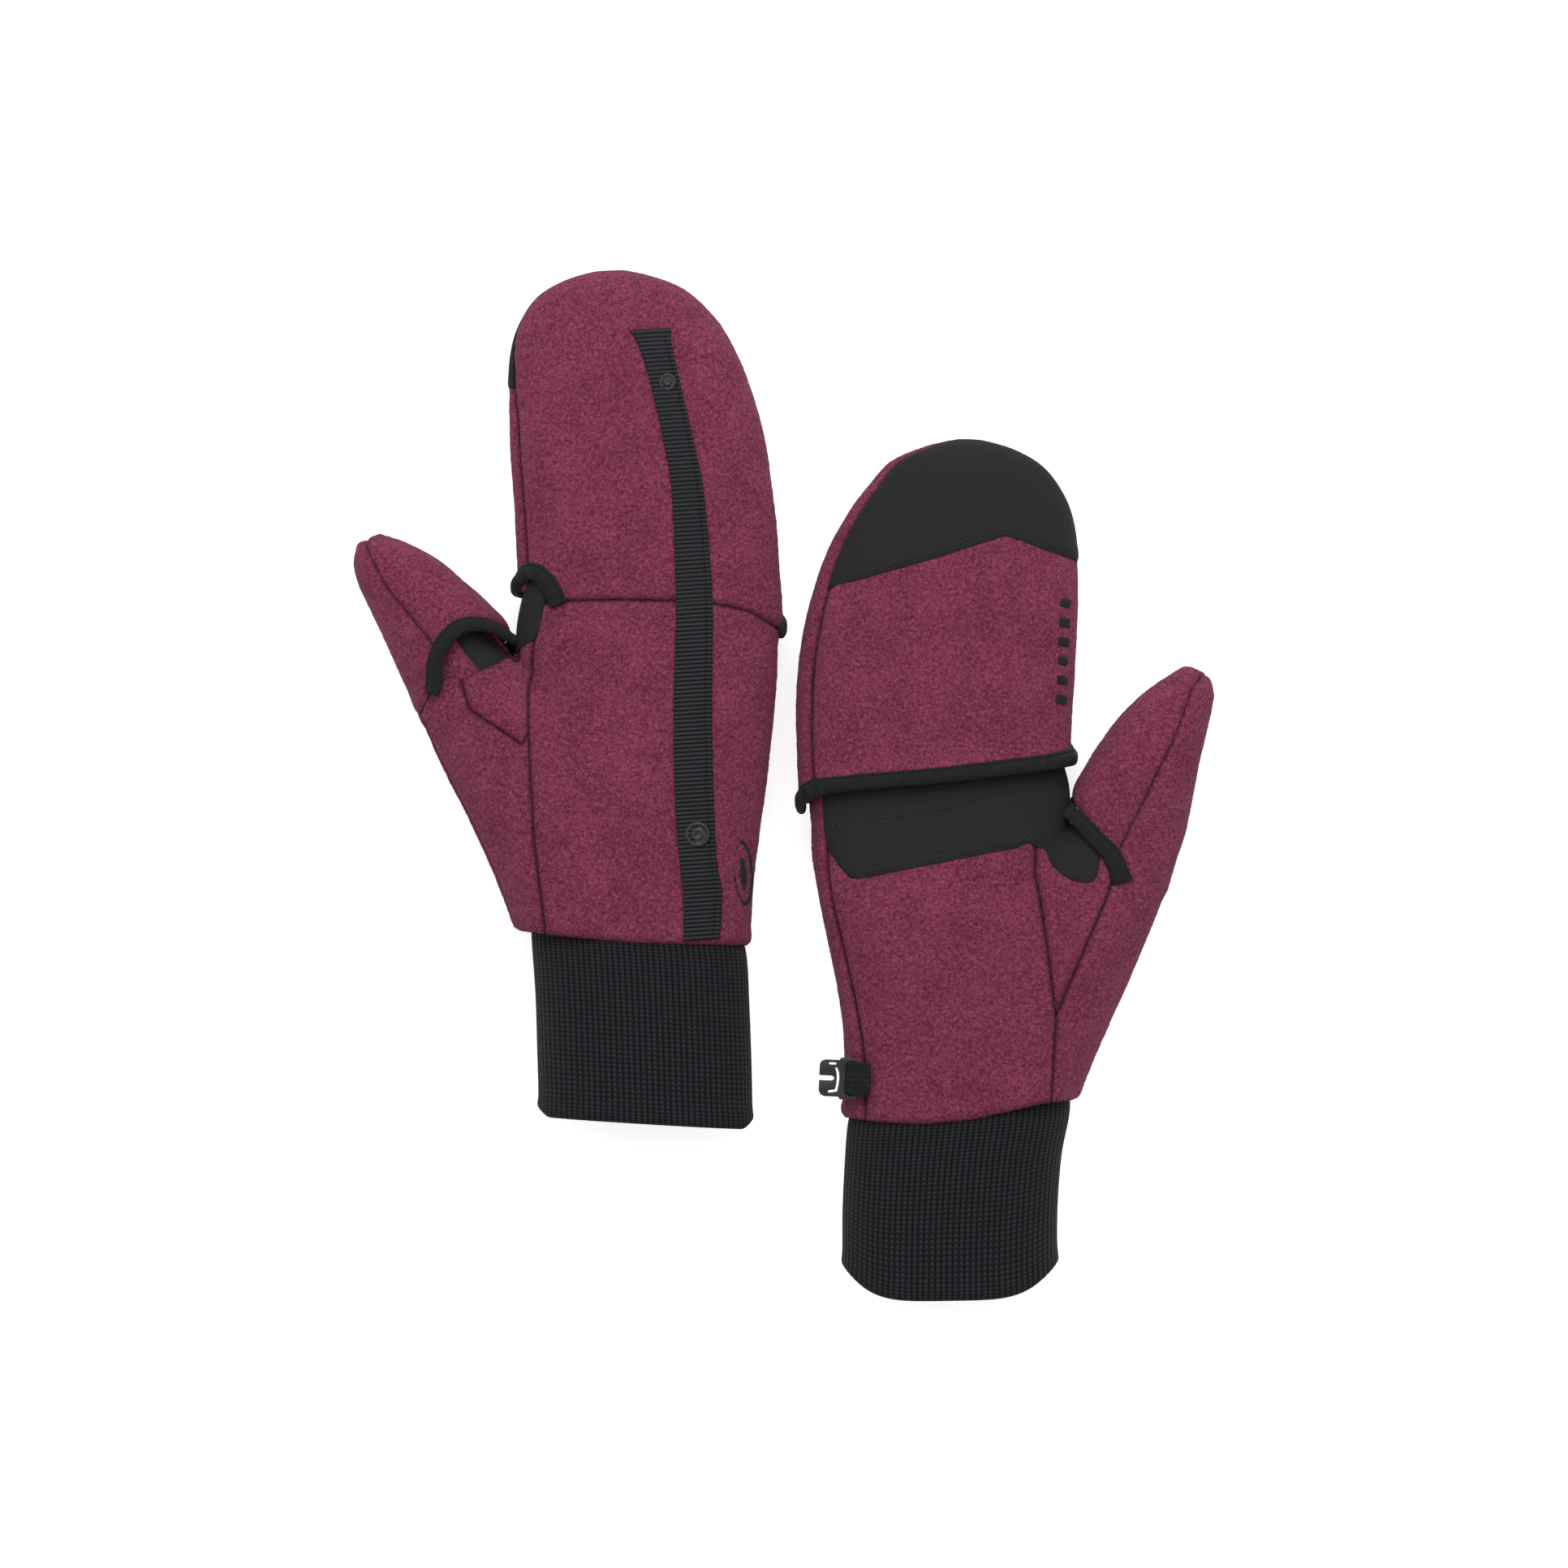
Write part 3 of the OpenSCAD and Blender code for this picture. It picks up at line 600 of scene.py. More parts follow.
def foldHeight(co, normals, folds):
    # soft folds: (x, y, x, y, half width, height, +1 on the back or -1 on the palm)
    lift = np.zeros(len(co))
    for x1, y1, x2, y2, width, height, face in folds:
        a, step = np.array([x1, y1]), np.array([x2 - x1, y2 - y1])
        rel = co[:, :2] - a
        t = np.clip(rel @ step / (step @ step), 0, 1)
        away = ((rel - t[:, None] * step) ** 2).sum(1)
        shape = np.exp(-away / width**2) - 0.5 * np.exp(-away / (2.2 * width) ** 2)
        facing = np.clip(normals[:, 2] * face * 2.5, 0, 1)
        lift += height * shape * facing * np.sin(np.pi * np.clip(t, 0.08, 0.92))
    return lift


def nap(co):
    sizes = ((cloth["coarse"], 0.11), (cloth["fine"], 0.6), (cloth["fine"], 1.15))
    return np.array([sum(height * noise.noise(Vector(p) * scale) for height, scale in sizes) for p in co])


def panel(name, source, inside, folds=(), lift=0.0, wall=None, pile=True, rolled=1.0):
    # a cut and sewn piece: its edges roll down into the seams
    mesh = trimmed(name, source, inside)
    co, normals = getCo(mesh), getNormals(mesh)
    d = np.maximum(inside(co), 0)
    height = lift + foldHeight(co, normals, folds)
    height += rolled * (cloth["puff"] * np.exp(-(((d - 3.2) / 2.2) ** 2))
                        - cloth["seamDepth"] * np.exp(-((d / cloth["seamWidth"]) ** 2)))
    if pile:
        height = height + nap(co)
    setCo(mesh, co + normals * height[:, None])
    # painted shade for the seam grooves: full at the seam line and fading within about a millimetre
    tuck = mesh.attributes.new("tuck", "FLOAT", "POINT")
    tuck.data.foreach_set("value", (rolled * np.exp(-((d / 0.55) ** 2))).astype(np.float32))
    return applied(mesh, ("SOLIDIFY", {"thickness": wall or cloth["wall"], "offset": -1.0}))


def surface(mesh, shift=0.0):
    # a search tree of a skin, and a function that lays points on it
    tree = BVHTree.FromPolygons([v.co[:] for v in mesh.vertices], [p.vertices[:] for p in mesh.polygons])

    def lay(points, face=0, lift=0.0):
        # face +1 looks down on the back, -1 up at the palm, 0 takes the nearest place
        spots, normals = [], []
        for point in points:
            hit = None
            if face:
                hit = tree.ray_cast(Vector((point[0], point[1], 200 * face)), Vector((0, 0, -face)))
            if not hit or hit[0] is None:
                hit = tree.find_nearest(Vector((*point, 18.5) if len(point) == 2 else point))
            spots.append(hit[0] + hit[1] * (lift + shift))
            normals.append(hit[1])
        return np.array(spots), np.array(normals)
    return lay


def resampled(points, pitch):
    pts = np.asarray(points, float)
    spans = [alongRows(pts, np.linspace(i, i + 1, 12, endpoint=False)) for i in range(len(pts) - 1)]
    curve = np.concatenate(spans + [pts[-1:]])
    far = np.concatenate([[0], np.cumsum(np.linalg.norm(np.diff(curve, axis=0), axis=1))])
    at = np.linspace(0, far[-1], max(3, int(round(far[-1] / pitch)) + 1))
    return np.column_stack([np.interp(at, far, curve[:, i]) for i in range(pts.shape[1])]), far[-1]


def relaxed(values, times=2):
    values = np.array(values)
    for _ in range(times):
        values[1:-1] = (values[:-2] + 2 * values[1:-1] + values[2:]) / 4
    return values


def sweptBand(name, path, normals, width, thick, rib=0.0, pitch=0.7, round_=24, boxy=0.8, lip=0):
    # a closed flat cord along a path on the cloth; width may change along it
    path = np.asarray(path)
    tangent = np.gradient(path, axis=0)
    tangent /= np.linalg.norm(tangent, axis=1)[:, None]
    normals = normals / np.linalg.norm(normals, axis=1)[:, None]
    across = np.cross(tangent, normals)
    across /= np.linalg.norm(across, axis=1)[:, None]
    normals = np.cross(across, tangent)
    count = len(path)
    length = np.linalg.norm(np.diff(path, axis=0), axis=1).sum()
    given = np.atleast_1d(width)
    widths = np.interp(np.linspace(0, 1, count), np.linspace(0, 1, len(given)), given)

    def place(u, v):
        i = np.clip(np.rint(u * (count - 1)).astype(int), 0, count - 1)
        angle = v * 2 * math.pi
        c, s = np.cos(angle), np.sin(angle)
        c, s = np.sign(c) * np.abs(c) ** boxy, np.sign(s) * np.abs(s) ** boxy
        ribbed = 1 + rib * np.cos(u * length / pitch * 2 * math.pi)
        side, up = c * widths[i] / 2, s * thick / 2 * ribbed
        return path[i] + across[i] * side[:, None] + normals[i] * up[:, None]
    size = (length, 2 * float(np.mean(widths)))
    band = mappedGrid(name, count - 1, round_, place, size, closed=True, capped=True)
    if not lip:
        return band
    beside = path + across * (lip * (widths / 2 + 0.25))[:, None] - normals * 0.5
    return weld(name, [band, sweptBand("lip", beside, normals, 1.9, 1.7, rib=0.05, pitch=1.0, round_=12)])


def stitchRow(bm, spots, normals, length=2.0, thick=0.6, pitch=2.7):
    # short laid stitches, each sunk a little into the cloth
    every = max(1, int(round(pitch / np.linalg.norm(np.diff(spots, axis=0), axis=1).mean())))
    for i in range(every // 2, len(spots) - 1, every):
        ahead = Vector(spots[i + 1] - spots[max(i - 1, 0)]).normalized()
        up = Vector(normals[i])
        sideways = up.cross(ahead).normalized()
        turn = Matrix((ahead, sideways, ahead.cross(sideways))).transposed().to_4x4()
        size = Matrix.Diagonal((length / 2, thick / 2, thick / 2, 1))
        bmesh.ops.create_uvsphere(bm, u_segments=10, v_segments=6, radius=1.0,
                                  matrix=Matrix.Translation(spots[i]) @ turn @ size)


def weld(name, meshes):
    bm = bmesh.new()
    for mesh in meshes:
        bm.from_mesh(mesh)
    return toMesh(bm, name)


pieces = {}
restLevel = {"fleece": 0.4, "thread": 0.02}


def piece(side, name, mesh, material, body, nodes=(), bend=None):
    mesh.transform(placement[side] @ millimetre)
    co = getCo(mesh)
    # flattened where it lies on the table
    co[:, 2] = np.maximum(co[:, 2], restLevel.get(material, 0.05) / 1000)
    setCo(mesh, co)
    mesh.materials.clear()
    mesh.materials.append(finish[material])
    mesh.polygons.foreach_set("use_smooth", [True] * len(mesh.polygons))
    obj = bpy.data.objects.new(side + "".join(word.capitalize() for word in name.split("_")), mesh)
    scene.collection.objects.link(obj)
    if bend:
        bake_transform(obj, side + "_hand", body, start=onTable(side, bend[0]), end=onTable(side, bend[1]))
    else:
        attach(obj, body)
    if nodes:
        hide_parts(*nodes)
    pieces[obj.name] = obj
    return obj
# soft folds of each panel: (x, y, x, y, half width, height, +1 on the back or -1 on the palm)
folds = {
    "down": {
        "hand_back": [[-38, -18, -20, -70, 6, 0.5, 1], [14, -24, 24, -52, 5, 0.8, 1],
                      [12, -40, 20, -66, 4, -0.6, 1], [-30, -80, -12, -98, 6, 0.5, 1]],
        "thumb_base": [[-60, -34, -76, -46, 5, 0.6, 1], [-58, -48, -70, -66, 4, -0.5, 1]],
        "hood_back": [[-44, 24, -36, 70, 7, 0.5, 1], [16, 20, 24, 60, 7, 0.5, 1],
                      [-20, 96, 2, 92, 6, -0.4, 1]],
        "thumb_cap_outer": [[-99, 8, -90, -8, 3.5, 0.7, 1]],
        "thumb_cap_inner": [[-90, 20, -80, 4, 3, 0.8, 1], [-84, 18, -74, 6, 2.6, -0.8, 1],
                            [-80, 20, -68, 6, 2.6, 0.7, 1]],
        "hood_palm": [[-40, 20, -46, 56, 6, 0.6, -1], [10, 18, 22, 44, 6, 0.5, -1]],
        "hand_palm": [[-30, -50, -10, -90, 7, 0.5, -1]],
    },
    "up": {
        "hood_palm": [[-47, 14, -42, 36, 5, 1.1, -1], [-44, 34, -51, 52, 4, -0.9, -1],
                      [-41, 44, -46, 66, 5, 0.9, -1], [14, 16, 24, 46, 6, 0.6, -1],
                      [-20, 50, 8, 58, 8, 0.4, -1]],
        "hand_palm": [[-34, -36, -44, -60, 6, 0.7, -1], [4, -48, 2, -92, 5, 0.5, -1],
                      [-30, -84, -12, -100, 6, 0.5, -1]],
        "thumb_gusset": [[-56, -42, -54, -62, 3.5, 0.5, -1]],
        "thumb_base": [[-78, -44, -70, -62, 5, 0.6, -1], [-72, -70, -64, -90, 5, 0.4, -1]],
        "thumb_cap_outer": [[-94, -14, -84, 6, 3.2, 1.2, -1], [-97, -2, -90, 18, 3, -1.0, -1]],
        "thumb_cap_inner": [[-80, -2, -72, 8, 3, 1.2, -1], [-84, 6, -74, 18, 3, -1.0, -1],
                            [-74, -12, -64, -2, 2.4, 0.8, -1]],
    },
}
tapeShape = {"thick": 1.1, "wall": 0.9, "wide": 12.4, "seam": 1.2,
             "hood": [[92.8, -4.4, 13.6], [88, -3.4, 11.2], [76, -1, 9.8], [58, 1.9, 9.8], [39, 4.2, 10.4],
                      [13, 4.3, 11.8], [0.4, 3.9, 12]],
             "hand": [[2, 3.9, 12.1], [-5, 3.6, 12.3], [-30, 1.4, 12.6], [-62, -0.3, 12.8],
                      [-84, -0.4, 12.2], [-95, 0.3, 12.8], [-110, -1.1, 12]]}
snaps = {"reach": 75, "socket": 8.5, "stud": 5.8, "tall": 0.9}

handBend = ((0, -2.8, 37 - 2.8), (0, 2.8, 37 + 2.8))
hoodBend = ((0, -2.8, 37 + 2.8), (0, 2.8, 37 - 2.8))
tapeBend = ((0, -4, 37), (0, 4, 37))
capBend = ((-93.7, -32.6, 18), (-89.5, -28.4, 18))


def tapeAlong(lay, table, steps, thick):
    # woven strip over the back: a mapped grid laid on the cloth, then given its thickness
    curve = alongRows(table, np.linspace(0, len(table) - 1.001, 300))[::-1]
    ends = (table[0][0], table[-1][0])
    length = abs(ends[0] - ends[1])

    def place(u, v):
        y = ends[0] + (ends[1] - ends[0]) * u
        x = np.interp(y, curve[:, 0], curve[:, 1]) + (v - 0.5) * np.interp(y, curve[:, 0], curve[:, 2])
        spots, normals = lay(np.column_stack([x, y]), face=1)
        # selvedges lie tight, the middle stands a little proud, and each edge is stitched down
        edge = np.abs(v - 0.5) * 2
        lift = thick * (0.92 + 0.08 * np.cos(edge * math.pi)) - 0.35 * np.exp(-(((1 - edge) / 0.07) ** 2))
        lift = lift + 0.12 * np.exp(-(((edge - 0.8) / 0.06) ** 2))
        lift = lift + 0.06 * np.cos(y / weave["rib"] * 2 * math.pi) * (edge < 0.8)
        # the two tapes meet in a pinch at the hinge, and a groove runs along one selvedge
        lift = lift - 0.45 * np.exp(-(((y - tapeShape["seam"]) / 1.2) ** 2))
        lift = lift - 0.6 * np.exp(-(((v - 0.83) / 0.03) ** 2))
        return spots + normals * lift[:, None]
    mesh = mappedGrid("tape", steps, 36, place, (length, tapeShape["wide"]))
    return applied(mesh, ("SOLIDIFY", {"thickness": tapeShape["wall"],
                                       "offset": -1.0 if meshFacesUp(mesh) else 1.0}))


def meshFacesUp(mesh):
    return sum(poly.normal.z * poly.area for poly in mesh.polygons) > 0


def ringProfile(at, points, steps=48):
    # a turned piece: its profile spun round an upright axis
    bm = bmesh.new()
    verts = [bm.verts.new((at[0] + r, at[1], at[2] + z)) for r, z in points]
    edges = [bm.edges.new(pair) for pair in zip(verts, verts[1:])]
    bmesh.ops.spin(bm, geom=verts + edges, cent=at, axis=(0, 0, 1), angle=2 * math.pi, steps=steps,
                   use_merge=True)
    bmesh.ops.remove_doubles(bm, verts=bm.verts, dist=0.001)
    bmesh.ops.recalc_face_normals(bm, faces=bm.faces)
    return toMesh(bm, "ring")


cuffShape = {"wales": 92, "thick": 2.4, "long": 100, "bow": 11.5}


def cuffMesh(side):
    # one knitted tube folded double: down the outside, round the edge and back up inside
    table = np.asarray(rows[side]["cuff"], float)
    last = len(table) - 1
    wales, thick = cuffShape["wales"], cuffShape["thick"]
    angles = np.linspace(0, 2 * math.pi, 1441)
    ring = onForm(table, np.full(1441, 2.0), angles)
    far = np.concatenate([[0], np.cumsum(np.linalg.norm(np.diff(ring, axis=0), axis=1))])

    def place(u, v):
        outer = np.clip(u / 0.68, 0, 1)
        inner = np.clip((u - 0.74) / 0.26, 0, 1)
        turn = np.clip((u - 0.68) / 0.06, 0, 1) * math.pi
        along = np.where(u < 0.68, outer, 1 - 0.985 * inner) * last * 0.9999
        grow = np.where(u < 0.68, 0.0, -thick / 2 + thick / 2 * np.cos(turn))
        swell = 0.45 * np.exp(-(((outer - 0.98) / 0.06) ** 2)) * (u < 0.74)
        relief = 0.13 * np.abs(np.cos(v * wales * math.pi)) + 0.08 * np.sin(v * 14 * math.pi + 3 * outer)
        angle = np.interp(v * far[-1], far, angles)
        waist = -1.1 * np.exp(-((outer / 0.1) ** 2))
        co = onForm(table, along, angle, 0.0)
        out = onForm(table, along, angle, 1.0) - co
        co = co + out * (grow + swell + waist + np.where(u < 0.7, relief, 0) - 0.1)[:, None]
        co[:, 1] -= 1.2 * np.sin(turn)
        # the fold's corners are rounded
        share = np.abs(eased(np.cos(angle)))
        down = along / last
        if side == "up":   # the corners of its lower edge are drawn up
            co[:, 1] += cuffShape["bow"] * share**4.4 * down**2.2
        else:
            co[:, 1] += 2.6 * np.clip((share - 0.9) / 0.1, 0, 1) ** 2 * np.exp(-(((down - 1) / 0.06) ** 2))
        return co
    size = (cuffShape["long"], wales * knit["wale"])
    return mappedGrid("cuff", 64, wales * 6, place, size, closed=True)


stallShape = {"first": {"up": -39.6, "down": -38.8}, "apart": 18.4, "half": 8.4, "mouth": 8.5,
              "slant": 0.75}


def stallsMesh(side):
    # four short knitted finger tubes with slanted mouths
    tubes = []
    for finger in range(4):
        middle = stallShape["first"][side] + stallShape["apart"] * finger

        def place(u, v, middle=middle):
            fold = np.clip((u - 0.46) / 0.08, 0, 1)
            along = np.where(u < 0.5, u / 0.5, (1 - u) / 0.5)
            angle = v * 2 * math.pi
            c, s = eased(np.cos(angle)), eased(np.sin(angle))
            size = stallShape["half"] - 1.3 * fold + 0.12 * np.cos(v * 44 * math.pi)
            size = size + 0.25 * np.exp(-(((along - 0.93) / 0.05) ** 2))
            z = 19.6 + (size + 1.2) * s
            mouth = stallShape["mouth"] + stallShape["slant"] * np.clip(z - 9, 0, None)
            return np.column_stack([middle + size * c, -3 + (mouth + 3) * along, z])
        tubes.append(mappedGrid("stall", 40, 132, place, (44, 56), closed=True))
    return weld("stalls", tubes)


def stitchedOn(lay, runs, face, name):
    bm = bmesh.new()
    for run, lift in runs:
        path, _ = resampled(run, 0.9)
        spots, normals = lay(path, face=face, lift=lift)
        stitchRow(bm, spots, normals)
    return toMesh(bm, name)


def sewn(side, name, source, inside, body, bend=None, rolled=1.0):
    # a fleece panel with its own soft folds, in place of the node of the same name
    mesh = panel(name, source, inside, folds[side].get(name, ()), rolled=rolled)
    return piece(side, name, mesh, "fleece", body, [side + "_" + name], bend)


for side in ("down", "up"):
    shape, line = rows[side], lines[side]
    hand, hood, cap = side + "_hand", side + "_hood", side + "_thumb_cap"
    handSkin = skin("handSkin", [shape["hand"], shape["base"], shape["bridge"]], 14)
    hoodSkin = skin("hoodSkin", [shape["hood"]], 6)
    capSkin = skin("capSkin", [shape["thumb"]], 6)
    onHand, onHood, onCap = surface(handSkin), surface(hoodSkin), surface(capSkin)
    print("skins", side, len(handSkin.vertices), len(hoodSkin.vertices), len(capSkin.vertices))

    # hand
    tipOfHand = outside(beyond(line["hinge"]))
    aboveCuff = beyond(line["cuffHem"])
    rightOfBack = beyond(line["handSeam"])
    rightOfPalm = beyond(palmSeam)
    overSeam = either(above(0.3), both(zAbove(20.0), lambda co: -36 - co[:, 0]))
    mouth = sides(tipOfHand, lambda co: 9.5 - co[:, 1], middle=16, soft=3)
    gusset = sides(region(gussetBack), region(gussetPalm))
    thumbMouth = either(outside(beyond(line["baseRim"])), outside(zAbove(20.0)))
    handBack = both(overSeam, rightOfBack, mouth, aboveCuff, zAbove(1.6))
    sewn(side, "hand_back", handSkin, handBack, hood, handBend)
    handPalm = both(outside(both(overSeam, rightOfBack)), sides(lambda co: -zAbove(24.0)(co), rightOfPalm),
                    mouth, aboveCuff)
    sewn(side, "hand_palm", handSkin, handPalm, hand)
    baseGusset = both(gusset, outside(handBack), outside(handPalm), mouth, thumbMouth)
    sewn(side, "thumb_gusset", handSkin, baseGusset, hand)
    base = both(outside(gusset), outside(handBack), outside(handPalm), aboveCuff, thumbMouth,
                lambda co: 3 - co[:, 1])
    sewn(side, "thumb_base", handSkin, base, hand)
    suedeSide = beyond([[-80, 6], [-74.7, -6.2], [-71.7, -10.9], [-68.3, -15.3], [-62, -26], [-60, -40]])
    inside = (("thumb_lining", suedeSide, "suede"), ("thumb_facing", outside(suedeSide), "fleece"))
    for name, part, stuff in inside:
        within = both(part, zAbove(3.0), lambda co: 4 - co[:, 1],
                      region([[-100, 4], [-97, -34], [-60, -40], [-44, -24], [-46, 2], [-66, 5]]))
        piece(side, name, panel(name, handSkin, within, lift=-1.6, wall=0.6, pile=stuff == "fleece",
                                rolled=0.3), stuff, hand)
    patch = sides(region(crotchPatch), smoothRegion(palmPatch), middle=17, soft=3)
    piece(side, "palm_patch", panel("palmPatch", handSkin, patch, lift=0.55, wall=0.8, pile=False,
                                    rolled=0.35), "suede", hand, [side + "_palm_patch"])
    piece(side, "finger_stalls", stallsMesh(side), "lining", hand, [side + "_finger_stalls"])
    piece(side, "rib_cuff", cuffMesh(side), "rib_knit", hand, [side + "_rib_cuff"])
    piece(side, "hand_tape", tapeAlong(onHand, tapeShape["hand"], 420, tapeShape["thick"]), "tape", hood,
          [side + "_hand_tape"], tapeBend)
    print("hand", side)

    # hood
    hoodSeam = hoodSide(side)
    hoodCorner = region([[-90, 17], [-54.5, 15], [-49.3, 15], [-45, 10], [-42, 5], [-42, -30], [-90, -30]])
    hoodBack = both(hoodSeam, beyond(line["hinge"]), outside(hoodCorner))
    sewn(side, "hood_back", hoodSkin, hoodBack, hood, hoodBend)
    hoodPalm = both(outside(hoodSeam), beyond(hoodHem))
    sewn(side, "hood_palm", hoodSkin, hoodPalm, hood)
    tip = both(outside(hoodSeam), beyond(tipEdge))
    piece(side, "tip_patch", panel("tipPatch", hoodSkin, tip, lift=0.6, wall=0.8, pile=False, rolled=0.4),
          "suede", hood, [side + "_tip_patch"])
    hem = [[-42.4, 3.6, 37], [-44.4, 8.6, 36.4], [-47, 12.6, 35], [-50, 15, 32], [-52.6, 14.6, 28.6],
           [-54.2, 12.4, 24], [-54.6, 10.4, 17], [-55, 9.6, 10], [-52.5, 8.6, 4], [-44, 7.2, 1],
           [-30, 5, 0], [-11, 2, 0], [10, -0.6, 0], [24, -2.6, 1.5], [30.2, -4, 6], [32, -6, 12],
           [32, -8, 18], [31, -9, 22]]
    path, _ = resampled(hem, 0.18)
    spots, normals = onHood(path)
    piece(side, "hood_binding", sweptBand("hoodBinding", relaxed(spots, 30) + relaxed(normals, 60)
                                          * np.linspace(0.9, 0.0, len(spots))[:, None],
                                          relaxed(normals, 60), [5, 4.6, 4.2, 4.2, 4.4, 6], 3.4,
                                          rib=0.035, lip=1),
          "binding", hood, [side + "_hood_binding"])
    piece(side, "hood_tape", tapeAlong(onHood, tapeShape["hood"], 350, tapeShape["thick"]), "tape", hood,
          [side + "_hood_tape"], tapeBend)
    print("hood", side)

    # thumb cap, bent where it meets the base
    capHem = sides(beyond(line["capHemBack"]), beyond(capHemPalm))
    outerSide = sides(beyond(line["capSeamBack"][::-1]), beyond(line["capSeamPalm"][::-1]))
    outer, inner = both(capHem, outerSide), both(capHem, outside(outerSide))
    for name, part in (("thumb_cap_outer", outer), ("thumb_cap_inner", inner)):
        sewn(side, name, capSkin, part, cap, capBend, rolled=0.7)
    rim = [[-83, -21.6, 31], [-83, -20, 34], [-83, -17, 35.6], [-82.4, -13, 36], [-80.6, -8.6, 36],
           [-77.6, -4.6, 36], [-73.2, -1.5, 36], [-67, -0.6, 35.4], [-62, -1.6, 33], [-58.8, -4.4, 29],
           [-57, -7, 22], [-57, -8, 14], [-60, -11, 6], [-63.5, -14.8, 2], [-70.2, -21, 1], [-73.4, -27, 1],
           [-74.4, -31, 1]]
    path, _ = resampled(rim, 0.18)
    spots, normals = onCap(path)
    piece(side, "thumb_binding", sweptBand("thumbBinding", relaxed(spots, 30) + relaxed(normals, 60) * 0.4,
                                           relaxed(normals, 60), [4.8, 4.4, 4, 3.8, 4, 4.6, 6], 2.8,
                                           rib=0.035, lip=-1), "binding", cap, [side + "_thumb_binding"])
    print("thumb", side)

    # snaps, each turned from its profile and set into the tape
    top = onHand([[0, -snaps["reach"]]], face=1)[0][0][2] + tapeShape["thick"] - 0.25
    r = snaps["socket"] / 2
    piece(side, "snap_socket", ringProfile((0, -snaps["reach"], top), [
        (r, -0.2), (r, 0.35), (r - 0.25, 0.75), (r - 0.7, snaps["tall"]), (r - 1.1, 0.75), (r - 1.3, 0.3),
        (r - 1.9, 0.2), (r - 2.2, 0.35), (r - 2.5, 0.55), (r - 3.0, 0.6), (r - 3.3, 0.3), (0, 0.3)]),
        "snap_plastic", hand, [side + "_snap_socket"])
    top = onHood([[0, snaps["reach"]]], face=1)[0][0][2] + tapeShape["thick"] - 0.25
    r = snaps["stud"] / 2
    piece(side, "snap_stud", ringProfile((0, snaps["reach"], top), [
        (r, -0.2), (r, 0.3), (r - 0.3, 0.6), (r - 0.8, 0.62), (r - 1.1, 0.3), (r - 1.5, 0.3),
        (r - 1.7, 0.8), (r - 2.1, snaps["tall"]), (r - 2.5, 0.7), (0, 0.66)]), "snap_plastic", hood,
        [side + "_snap_stud"])

    # rows of stitches: (points, height over the cloth)
    runs = [([[22.4, 4], [22.6, -9], [20, -20], [17, -28.5], [12, -30.4], [-12, -24.4], [-40, -17.8],
              [-50, -17.6]], 0.75),
            ([[20.4, 4], [20.4, -9], [18, -19], [14.6, -27], [11, -28.4], [-12, -22.2], [-40, -15.6],
              [-50, -15]], 0.75),
            ([[-33, -1.8], [-22, -5.8], [-10, -9.6], [2, -11.6], [9.6, -12.6], [11.6, -10.6], [10.6, -8.2],
              [4, -6.4], [-8, -4], [-18, -1], [-28, 3]], 0.75),
            ([[-51.6, -19], [-53.4, -23.6], [-57.4, -26.8], [-61.4, -28.2], [-63.8, -27.4], [-64.6, -24],
              [-64.4, -19]], 0.75),
            ([[-54, -17.6], [-55.8, -21.8], [-58.4, -24.2], [-61.4, -25.2], [-62.4, -21.6], [-62, -18]],
             0.75)]
    piece(side, "palm_stitches", stitchedOn(onHand, runs, -1, "palmStitches"), "thread", hand)
    tipRow = [[x, y + 2.2] for x, y in [[-50, 76.9], [-31.2, 82.9], [-8.1, 74.3], [22, 64.6]]]
    piece(side, "hood_stitches", stitchedOn(onHood, [(tipRow, 0.85)], -1, "hoodStitches"), "thread", hood)
    print("details", side)

# oval emblem on the palm-down mitten, row of plain bars on the palm-up one
oval = [[math.cos(a / 12 * math.pi), math.sin(a / 12 * math.pi)] for a in range(24)]
ovals = [region([[14.2 + x * wide, -88.8 + y * tall] for x, y in oval])
         for wide, tall in ((3.6, 11), (2.5, 9.6), (1.2, 6))]
emblem = both(either(both(ovals[0], outside(ovals[1])), ovals[2]), zAbove(18.0))
handSkin = skin("emblemSkin", [rows["down"]["hand"]], 6)
piece("down", "emblem", panel("emblem", handSkin, emblem, lift=0.35, wall=0.6, pile=False, rolled=0.3),
      "suede", "down_hand")
bars = [region([[-54.2, y + 3], [-50.6, y + 3.4], [-50.6, y + 0.4], [-54.2, y]])
        for y in (60 - 6.4 * i for i in range(6))]
hoodSkin = skin("barSkin", [rows["up"]["hood"]], 6)
onPalm = both(either(*bars), outside(zAbove(17.0)))
piece("up", "hood_bars", panel("bars", hoodSkin, onPalm, lift=0.3, wall=0.5, pile=False, rolled=0.2),
      "suede", "up_hood")

# clip on the wrist of the palm-up mitten, bar at its hinge
clip = {"bar": (12, -98.8, 4), "wide": 13.8, "thick": 2.2, "strap": 10.6, "rod": 0.9}


def webbingMesh():
    bx, by, bz = clip["bar"]
    r = clip["rod"] + 0.6
    loop = [[-6.4, 1.9], [-3.5, 1.9], [0, r]] + [
        [r * math.sin(a / 6 * math.pi), r * math.cos(a / 6 * math.pi)] for a in range(1, 6)] + [
        [0, -r], [-3.5, -1.9], [-6.4, -1.9]]
    path, _ = resampled([[bx + x, by, bz + z] for x, z in loop], 0.12)
    middle = np.array([bx - 3, by, bz])
    tangent = np.gradient(path, axis=0)
    normals = np.cross(np.array([0, 1.0, 0]), tangent)
    flip = np.sign(((path - middle) * normals).sum(1).mean())
    return sweptBand("webbing", path, normals * flip, clip["strap"], 0.9, rib=0.3, pitch=1.2, boxy=0.35)


